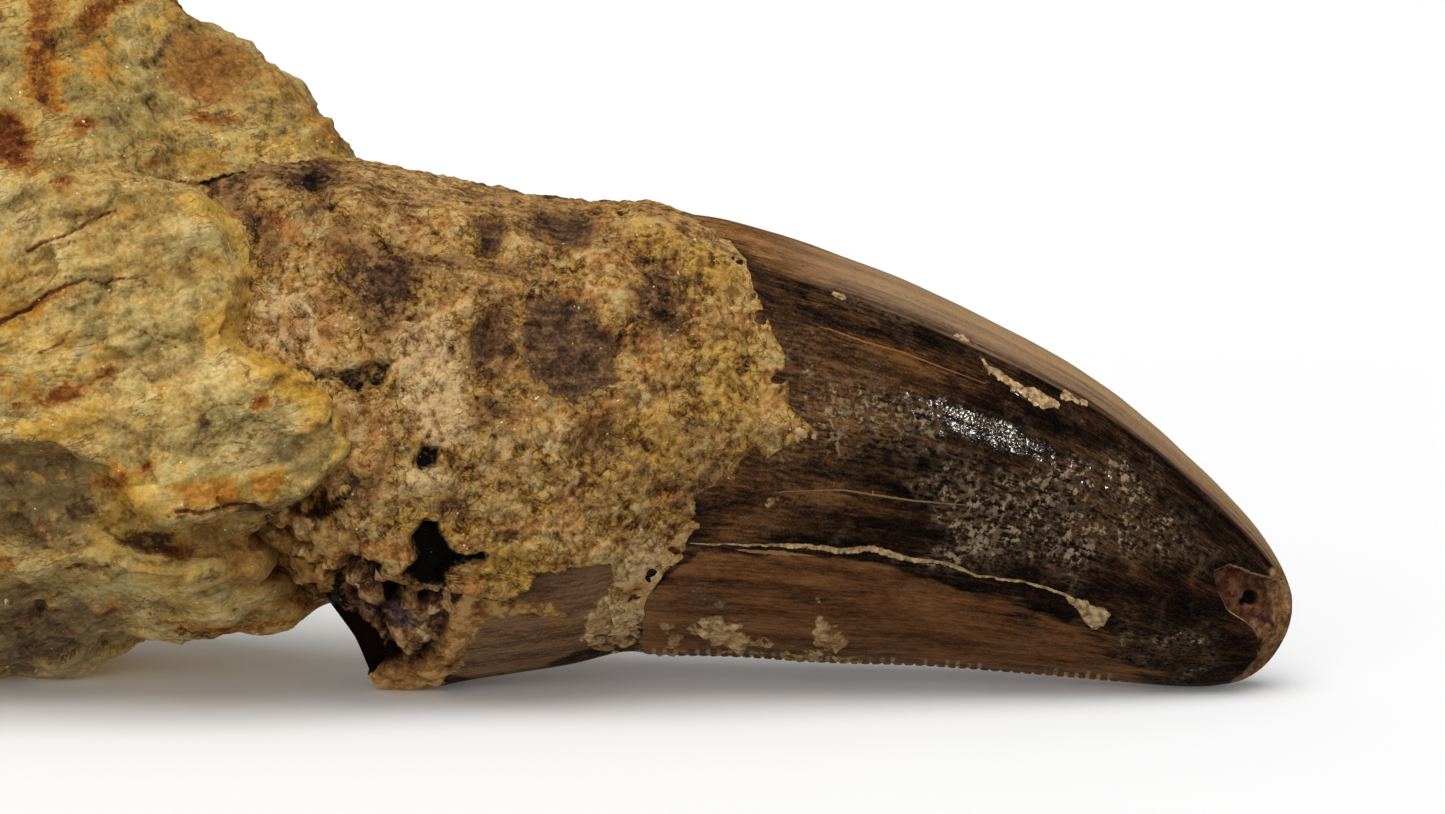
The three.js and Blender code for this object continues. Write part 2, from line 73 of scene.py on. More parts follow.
# From the buried root end to the tip: the upper edge x, z, the lower edge x, z, and
# half the thickness.
TOOTH_STATIONS = np.array([
    (17.5, 27.2, 20.0, 8.1, 6.3),
    (21.4, 28.7, 24.7, 6.4, 7.8),
    (27.4, 28.7, 27.5, 3.2, 8.9),
    (30.4, 28.2, 29.0, 0.3, 9.0),
    (32.6, 27.8, 30.9, 0.0, 8.9),
    (35.8, 27.1, 34.5, 0.6, 8.7),
    (40.2, 26.4, 39.6, 1.4, 8.5),
    (42.8, 26.4, 42.6, 2.1, 8.4),
    (44.6, 26.5, 44.6, 2.0, 8.3),
    (48.2, 26.1, 48.8, 1.9, 8.0),
    (52.2, 24.9, 53.4, 1.6, 7.6),
    (57.7, 22.9, 59.2, 1.4, 6.9),
    (63.2, 20.3, 64.5, 1.0, 6.1),
    (68.2, 17.4, 68.9, 0.6, 5.2),
    (72.3, 14.2, 72.5, 0.2, 4.3),
    (75.7, 11.0, 75.3, 0.2, 3.4),
    (77.7, 8.8, 77.0, 0.6, 2.6),
    (78.9, 6.9, 78.2, 1.5, 1.8),
    (79.4, 5.5, 79.1, 2.9, 1.0),
    (79.5, 4.3, 79.5, 4.2, 0.0),
])
CREST_ROUNDNESS = 0.9
KEEL_ROUNDNESS = 1.5

DENTICLES_FROM = 43.6
DENTICLES_TO = 71.2
DENTICLE_PITCH = 0.6
DENTICLE_HALF_WIDTH = 0.45
# Stretches of the saw edge, from x to x, with pale dirt in their slots.
DIRTY_DENTICLES = ((44.0, 56.1), (56.7, 57.8), (59.1, 62.4), (66.0, 69.4))

# ------ the crust's dimensions

# Angle round the tooth (0 is its crest, + is the front), and the x where the crust
# begins and ends there.
CRUST_BORDERS = np.array([
    (152, 41.3, 42.9), (143, 40.8, 43.6), (131, 41.3, 44.1), (128, 40.6, 44.4),
    (122, 34.0, 45.2), (117, 31.4, 46.0), (113, 26.4, 46.6), (110, 24.4, 46.9),
    (107, 23.0, 47.2), (102, 22.2, 48.0), (94, 22.0, 49.4), (86, 22.4, 51.1),
    (82, 22.5, 52.4), (79, 22.6, 52.7), (75, 22.4, 51.7), (66, 22.3, 51.6),
    (61, 22.2, 51.4), (54, 22.2, 50.7), (43, 21.2, 50.2), (30, 20.2, 49.6),
    (15, 19.6, 47.6), (0, 19.4, 45.9), (-15, 20.4, 46.8), (-30, 22.4, 48.6),
    (-45, 24.4, 47.2), (-60, 25.4, 49.8), (-75, 25.6, 51.0), (-90, 25.6, 48.2),
    (-105, 25.2, 45.4), (-120, 25.0, 43.4), (-134, 24.8, 39.2),
])
CRUST_GAP = 0.3  # from the tooth to the crust's mean underside in the frame

# ------ the rock's dimensions

ROCK_OUTLINE = np.array([
    (26.8, 4.9), (23.8, 3.8), (18.5, 2.8), (15.7, 2.3), (12.6, 1.0), (11.0, -0.1),
    (7.2, -0.3), (3.8, -1.4), (-4.2, -2.3), (-10.9, -2.1), (-14.8, 1.5), (-16.5, 7.7),
    (-16.9, 14.5), (-15.5, 21.3), (-13.1, 27.4), (-8.7, 33.5), (-3.6, 39.1),
    (2.0, 42.3), (8.1, 43.2), (13.1, 41.3), (17.1, 37.7), (20.4, 35.7), (23.2, 34.3),
    (24.7, 33.4), (26.0, 31.6), (27.1, 30.3), (27.7, 28.9), (29.2, 24.1),
    (32.4, 20.0), (34.6, 15.4), (32.2, 10.6), (28.0, 6.8),
])
ROCK_CENTRE = np.array([6.5, 4.5, 19.0])
ROCK_SQUARENESS_FRONT = 5.0
ROCK_SQUARENESS_BACK = 3.4

# Lines across the rock's front, as x, z: the step under its upper facet, the lip under
# its bulge and the shelf near its foot.
LEDGE_LINE = np.array([(-17, 30.6), (-0.3, 29.1), (10.1, 28.6), (22.2, 28.1), (29, 28.3)])
LIP_LINE = np.array([
    (-17, 16.6), (2.1, 15.2), (13.2, 14.7), (15.8, 13.7), (17.1, 11.8), (19.4, 10.9),
    (22.6, 11.2), (25.7, 11.8), (29, 13.7),
])
SHELF_LINE = np.array([(-17, 8.4), (9.7, 9.3), (16.6, 8.9), (29, 7.6)])
# The bulge's right-hand edge, as z, x.
BULGE_EDGE = np.array([
    (0, 24.6), (11.2, 26.2), (12.3, 28.4), (14.7, 30.4), (16.8, 30.0), (18.4, 28.6),
    (19.6, 25.3), (20.5, 24.0), (23.7, 24.2), (25.8, 23.4), (28.1, 21.8), (30, 21.4),
])
# How far back the front's foot is undercut, by x.
FOOT_LINE = np.array([(-17, -2), (-4, -4.6), (3, -4.2), (8.5, 2.6), (14, 4)])
LEDGE_Y = -9.6
BULGE_Y = -12.1
UNDER_LIP_Y = -7.6
SHELF_Y = -9.3
SOCKET_Y = 2.5
BACK_Y = 17.5
BEDDING_TILT = math.radians(19)  # the beds run up to the right

# Fracture planes that knock the rock's corners off: an outward direction and how far
# out from the rock's middle the plane lies.
CHIPS = np.array([
    (-0.75, -0.45, 0.48, 19.6), (-0.62, -0.7, -0.35, 18.2), (-0.5, 0.62, 0.6, 16.8),
    (0.35, 0.75, 0.55, 15.8), (0.72, 0.68, -0.1, 18.0), (0.45, 0.6, -0.66, 19.0),
    (-0.86, 0.5, 0.05, 18.6), (-0.2, 0.75, -0.6, 15.6), (0.06, 1, 0.1, 12.2),
])

# ------ marks on the surfaces

# Marks are placed where they show on the plane Y = 0 from the viewer's eye, as x, z.
# Corners are a row of numbers x, z, x, z and so on.


def pairs(numbers):
    return list(zip(numbers[::2], numbers[1::2]))


class Blob:
    """A soft ellipse: its centre x, z, half sizes along and across, and turn in degrees."""

    def __init__(self, x, z, long, short, turn=0, weight=1.0):
        self.place = x, z
        self.long = long
        self.short = short
        self.turn = math.radians(turn)
        self.weight = weight

    def depth(self, view):
        """How far inside its border each place is: (1 - scaled radius) times the mean half size."""
        dx = view[..., 0] - self.place[0]
        dz = view[..., 1] - self.place[1]
        along = dx * math.cos(self.turn) + dz * math.sin(self.turn)
        across = dz * math.cos(self.turn) - dx * math.sin(self.turn)
        radius = np.hypot(along / self.long, across / self.short)
        return (1 - radius) * math.sqrt(self.long * self.short)


class Stroke:
    """A line through corners, with a width that changes from its start to its end."""

    def __init__(self, corners, width, end_width, weight=1.0):
        self.corners = pairs(corners)
        self.width = width
        self.end_width = end_width
        self.weight = weight

    def depth(self, view):
        """How far inside its edges each place is: half the width less the distance to the line."""
        best = np.full(view.shape[:-1], -FAR)
        count = len(self.corners) - 1
        for i in range(count):
            share, distance = to_segment(view, self.corners[i], self.corners[i + 1])
            width = mix(self.width, self.end_width, (i + share) / count)
            best = np.maximum(best, width / 2 - distance)
        return best


class Patch:
    """A region inside its corners."""

    def __init__(self, corners, weight=1.0):
        self.corners = pairs(corners)
        self.weight = weight

    def depth(self, view):
        """The distance to the nearest side, positive inside: inside is an odd number of crossings."""
        nearest = np.full(view.shape[:-1], FAR)
        inside = np.zeros(view.shape[:-1], bool)
        for start, end in zip(self.corners, self.corners[1:] + self.corners[:1]):
            nearest = np.minimum(nearest, to_segment(view, start, end)[1])
            spans = (start[1] > view[..., 1]) != (end[1] > view[..., 1])
            rise = end[1] - start[1]
            crossing = start[0] + (view[..., 1] - start[1]) * (end[0] - start[0]) / (rise or TINY)
            inside ^= spans & (view[..., 0] < crossing)
        return np.where(inside, nearest, -nearest)


class Marks:
    """Marks of one kind: how soft their borders are, how far noise moves them, and their shapes.

    Soft is in mm. Stray has a number for each of the drifts that a surface gives, the
    coarse one first.
    """

    def __init__(self, soft, stray, shapes):
        self.soft = soft
        self.stray = stray
        self.shapes = shapes

    def cover(self, view, drifts, softer=0.0):
        """The strongest mark at each place: a half on its border, rising to its weight within it."""
        for far, way in zip(self.stray, drifts):
            view = view + far * way
        total = np.zeros(view.shape[:-1])
        for shape in self.shapes:
            inside = np.clip(0.5 + shape.depth(view) / (2 * (self.soft + softer)), 0, 1)
            total = np.maximum(total, shape.weight * inside)
        return total


def to_segment(view, start, end):
    """Each place's share along a segment, and its distance to the nearest point of it."""
    start = np.asarray(start, float)
    run = np.asarray(end, float) - start
    share = np.clip(((view - start) @ run) / max(run @ run, TINY), 0, 1)
    nearest = start + share[..., None] * run
    return share, np.linalg.norm(view - nearest, axis=-1)


# Rock.
ROCK_MARKS = {
    "rust": Marks(0.45, (0.4,), [
        Patch([10.3, 38.6, 11.7, 38.6, 12.1, 35.9, 11.4, 32.4, 10.5, 32.4, 10.1, 35.3], 0.62),
        Stroke([13.2, 35.6, 13.7, 36.7, 15.0, 38.4], 1.21, 1.87, 0.66),
        Blob(20.1, 31.8, 1.32, 0.39, -4, 0.8), Blob(9.0, 30.4, 1.32, 1.49, 30, 0.95),
        Blob(10.2, 28.8, 1.1, 0.39, 8, 0.6), Blob(13.2, 31.2, 1.1, 0.71, 10, 0.66),
        Blob(11.9, 28.1, 0.55, 0.44, 0, 0.9),
        Stroke([7.3, 20.4, 10.3, 21.5, 12.5, 22.2], 0.66, 0.28, 0.62),
        Stroke([9.4, 15.9, 10.7, 16.3, 11.8, 16.8, 13.3, 17.2, 14.4, 17.5], 0.55, 0.49, 0.9),
        Blob(11.5, 16.5, 1.21, 0.6, 15, 0.85), Blob(14.3, 11.8, 0.94, 0.66, -20, 0.66),
        Blob(16.1, 12.4, 0.49, 0.39, 0, 0.8), Blob(22.6, 15.9, 0.33, 0.33, -30, 0.95),
        Blob(25.5, 14.9, 0.33, 0.22, 0, 0.8), Blob(25.6, 12.1, 0.28, 0.22, 0, 0.6),
        Blob(17.4, 7.9, 1.04, 0.49, 5, 0.75), Blob(14.2, 4.2, 0.71, 0.39, 10, 0.6),
        Stroke([17.1, 3.8, 19.1, 3.2, 21.3, 3.0, 23.9, 3.2], 0.66, 0.88, 0.66),
        Blob(24.9, 5.1, 0.99, 1.1, 0, 0.62), Blob(8.3, 7.0, 0.66, 0.49, 0, 0.7),
        Stroke([16.7, 29.2, 17.8, 28.8, 19.2, 28.7, 20.6, 29.1], 0.28, 0.39, 0.6),
    ]),
    "yellow": Marks(0.8, (0.4,), [
        Patch([17.8, 26.9, 18.6, 27.7, 20.1, 27.8, 21.3, 26.3, 22.2, 24.7, 22.6, 23.8, 22.0, 23.3,
               21.4, 25.0, 20.2, 26.3], 0.9),
        Stroke([22.4, 23.8, 22.1, 22.2, 22.3, 20.3, 22.7, 18.9, 23.9, 17.4, 25.9, 16.3], 1.32, 1.87, 0.8),
        Stroke([27.2, 16.2, 27.6, 14.8, 27.6, 13.1, 26.9, 11.8], 1.21, 1.21, 0.8),
        Stroke([19.5, 29.3, 21.4, 30.0, 24.7, 30.3], 0.55, 0.44, 0.66),
        Stroke([15.9, 36.4, 17.3, 36.6, 18.3, 37.3], 0.66, 0.55, 0.6),
        Blob(20.7, 20.0, 1.65, 1.43, 0, 0.55), Blob(11.5, 14.6, 2.31, 0.77, 10, 0.62),
        Blob(15.6, 10.6, 1.65, 0.99, -25, 0.62), Blob(21.5, 22.2, 0.77, 1.43, 0, 0.6),
    ]),
    "orange": Marks(0.7, (0.4,), [
        Blob(19.9, 10.9, 1.98, 0.82, -8, 0.95), Blob(22.6, 11.4, 1.1, 0.71, 10, 0.9),
        Stroke([14.2, 12.5, 14.9, 11.2, 17.0, 10.1, 19.2, 10.0], 0.99, 0.55, 0.66),
        Blob(12.1, 15.2, 1.65, 0.44, 12, 0.6), Blob(9.5, 20.7, 1.65, 0.55, 18, 0.55),
        Blob(9.4, 17.3, 3.3, 0.99, 12, 0.5), Blob(11.7, 19.6, 1.21, 0.55, 18, 0.62),
        Blob(14.7, 11.4, 1.21, 0.49, 0, 0.7), Blob(13.0, 7.9, 1.21, 0.44, 20, 0.55),
        Blob(19.5, 29.6, 1.21, 0.33, 5, 0.6), Blob(11.3, 34.5, 1.21, 2.2, 0, 0.55),
        Blob(14.1, 34.8, 1.1, 1.65, 20, 0.5),
    ]),
    "green": Marks(0.9, (0.4,), [
        Patch([16.4, 12.7, 17.8, 13.9, 19.5, 15.6, 21.5, 16.3, 23.9, 15.6, 25.7, 13.9, 25.4, 12.0,
               23.6, 12.3, 21.4, 12.7, 18.6, 12.3], 0.75),
        Patch([8.4, 36.4, 10.3, 36.8, 10.0, 32.1, 8.3, 31.6], 0.55),
        Patch([12.0, 36.7, 16.8, 34.8, 17.3, 31.5, 14.0, 29.9, 11.9, 33.2], 0.6),
        Patch([15.1, 20.0, 16.0, 20.8, 17.7, 20.7, 17.9, 19.5, 16.6, 18.6, 15.5, 19.2], 0.7),
        Blob(19.4, 25.2, 1.43, 0.77, 20, 0.55), Blob(24.4, 31.0, 1.65, 0.88, -30, 0.5),
        Blob(15.6, 27.2, 2.75, 0.55, 8, 0.5),
    ]),
    # Grey-olive clay, painted darker than the stone: partly its own colour, partly painted shade under
    # the bulge and at the foot.
    "grey": Marks(0.9, (0.4,), [
        Patch([7.6, 13.4, 10.7, 13.6, 13.3, 12.9, 13.9, 11.7, 13.2, 9.5, 11.4, 8.1, 7.5, 8.4], 0.8),
        Blob(23.7, 13.3, 1.43, 1.1, -10, 0.55), Blob(20.0, 8.1, 1.76, 0.77, 0, 0.5),
        Patch([6.9, 5.2, 11.3, 5.5, 15.2, 4.6, 14.0, 2.2, 11.2, -0.1, 6.8, -0.1], 0.9),
    ]),
    # Thin seams of iron oxide along the beds and the joints.
    "seams": Marks(0.12, (0.22,), [
        Stroke([9.8, 24.5, 10.9, 24.8, 11.9, 25.2, 13.4, 26.0, 14.7, 26.5], 0.22, 0.17, 0.95),
        Stroke([8.1, 20.6, 9.7, 21.2, 10.9, 21.9, 11.8, 22.2, 13.1, 22.8], 0.33, 0.17, 0.9),
        Stroke([13.1, 22.8, 13.9, 22.5, 15.0, 22.9, 16.5, 23.0], 0.22, 0.11, 0.9),
        Stroke([8.1, 22.1, 10.1, 23.0, 11.2, 23.2, 11.7, 22.9, 12.5, 22.8], 0.11, 0.17, 0.8),
        Stroke([8.2, 25.3, 9.6, 26.0, 10.9, 26.9], 0.11, 0.11, 0.8),
        Stroke([10.5, 18.8, 11.6, 19.3, 12.3, 20.0], 0.17, 0.17, 0.85),
        Stroke([17.4, 21.9, 18.5, 22.4, 19.5, 22.9], 0.11, 0.11, 0.75),
        Stroke([9.0, 26.5, 10.7, 27.7, 11.8, 28.4], 0.11, 0.11, 0.75),
        Stroke([17.9, 10.0, 19.2, 9.8, 20.5, 10.1, 21.6, 10.2, 22.6, 9.9, 24.1, 10.1], 0.17, 0.33),
        Stroke([11.4, 6.5, 12.8, 6.7, 14.0, 6.9], 0.17, 0.11, 0.9),
        Stroke([7.7, 3.7, 10.2, 4.0, 11.3, 4.3], 0.11, 0.17, 0.8),
        Stroke([21.9, 26.4, 22.5, 25.4, 23.1, 24.3, 22.8, 22.9, 22.5, 21.2], 0.17, 0.39),
        Stroke([16.7, 28.4, 18.2, 28.1, 19.4, 27.9, 20.2, 27.5], 0.22, 0.44, 0.95),
        Stroke([20.8, 18.9, 21.8, 18.0, 22.0, 17.0], 0.11, 0.17, 0.75),
        Stroke([15.1, 19.6, 15.6, 20.3, 16.5, 20.0, 17.1, 19.4, 18.0, 18.9], 0.11, 0.17, 0.8),
        Stroke([22.0, 15.2, 23.0, 14.8, 24.3, 14.9], 0.11, 0.17, 0.8),
        Stroke([17.6, 14.5, 19.2, 15.0, 20.1, 15.9, 21.5, 16.0], 0.11, 0.17, 0.8),
        Stroke([20.9, 13.9, 22.3, 13.6, 23.6, 13.9], 0.17, 0.11, 0.75),
        Stroke([14.5, 25.4, 16.7, 26.2, 18.1, 26.4], 0.11, 0.11, 0.7),
        Stroke([12.3, 28.4, 13.8, 28.9, 14.5, 29.0], 0.11, 0.17, 0.75),
        Stroke([7.8, 8.4, 9.2, 8.9, 11.4, 9.1], 0.11, 0.11, 0.7),
        Stroke([7.7, 5.0, 9.7, 5.5, 11.9, 5.3], 0.11, 0.11, 0.7),
    ]),
    "dark": Marks(0.5, (0.3,), [
        # Painted shadow under the right end of the bulge's lip.
        Patch([24.7, 10.1, 26.3, 11.0, 28.1, 12.0, 29.2, 12.3, 28.9, 11.5, 27.4, 10.3, 26.0, 9.5], 0.95),
        Stroke([18.1, 36.2, 17.6, 35.2, 16.6, 34.1], 0.66, 1.1, 0.66),
        Blob(12.8, 10.4, 1.21, 0.94, 0, 0.62), Blob(16.1, 8.3, 1.76, 0.77, 8, 0.66),
        Blob(9.1, 2.8, 3.85, 1.65, 0, 0.5),
        # Painted shade along the underside of the bulge's lip.
        Stroke([14.8, 10.6, 15.8, 9.4, 17.2, 9.5, 19.2, 9.8, 21.4, 9.9, 24.1, 9.9], 0.28, 0.66, 0.62),
        Stroke([19.2, 27.9, 20.3, 27.7, 21.5, 27.2], 0.44, 0.99, 0.66),
        Stroke([18.3, 5.0, 16.3, 4.3, 14.6, 3.9], 0.22, 0.28, 0.6),
        Blob(14.1, 22.4, 0.55, 0.39, 20, 0.75),
        Stroke([10.9, 36.4, 11.1, 34.8, 10.9, 32.9], 0.33, 0.49, 0.56),
        Blob(11.5, 36.0, 0.44, 0.77, 0, 0.6),
        Stroke([18.4, 13.0, 19.0, 13.9, 19.6, 14.8], 0.33, 0.77, 0.7),
        # Painted shade in the gap between the bulge's edge and the crust.
        Stroke([24.0, 19.2, 24.8, 18.3, 26.0, 17.6, 27.4, 17.5], 0.28, 0.49, 0.95),
        Blob(12.6, 21.5, 0.33, 0.28, 0, 0.75),
        Stroke([8.0, 15.5, 9.0, 15.8, 9.7, 16.2], 0.28, 0.39, 0.7),
        Blob(13.8, 4.0, 0.88, 0.39, 12, 0.66), Blob(22.7, 9.5, 0.66, 0.55, 0, 0.62),
        Blob(25.6, 5.6, 0.88, 0.55, 0, 0.66),
        Stroke([17.4, 3.4, 20.2, 2.7, 24.0, 2.8], 0.33, 0.44, 0.66),
        Blob(12.1, 24.7, 1.1, 0.17, 22, 0.5),
        Stroke([12.2, 22.8, 13.9, 23.3, 16.1, 23.8], 0.28, 0.17, 0.6),
    ]),
    "brown": Marks(0.8, (0.4,), [
        Patch([18.0, 36.7, 19.8, 36.2, 21.7, 35.7, 22.9, 34.2, 21.9, 33.1, 20.3, 32.5, 18.4, 32.8,
               17.6, 33.9], 0.85),
        Patch([21.5, 35.9, 25.0, 34.0, 27.1, 31.3, 27.9, 29.3, 26.6, 29.8, 25.0, 32.1, 22.9, 33.8], 0.55),
        Blob(24.6, 5.0, 1.87, 1.43, 0, 0.5), Blob(23.0, 7.2, 2.75, 1.87, 0, 0.72),
    ]),
    "pale": Marks(0.3, (0.4,), [
        Stroke([7.5, 8.0, 11.4, 7.9, 14.7, 7.6, 18.6, 7.2], 0.22, 0.17, 0.7),
        Blob(25.2, 9.6, 0.6, 0.33, -10, 0.95), Blob(11.3, 19.2, 3.02, 1.21, 18, 0.55),
        Blob(20.1, 17.5, 1.87, 1.1, 20, 0.5), Blob(18.9, 25.7, 1.32, 0.55, 0, 0.5),
        Blob(25.8, 8.1, 1.32, 0.49, 15, 0.55), Blob(24.1, 30.4, 1.32, 0.22, 10, 0.5),
        Stroke([11.3, 5.1, 14.7, 5.5, 19.1, 5.0, 22.9, 4.8], 0.66, 1.1, 0.6),
        Stroke([27.5, 15.5, 27.5, 13.9, 26.8, 12.7], 0.49, 0.49, 0.66),
    ]),
}

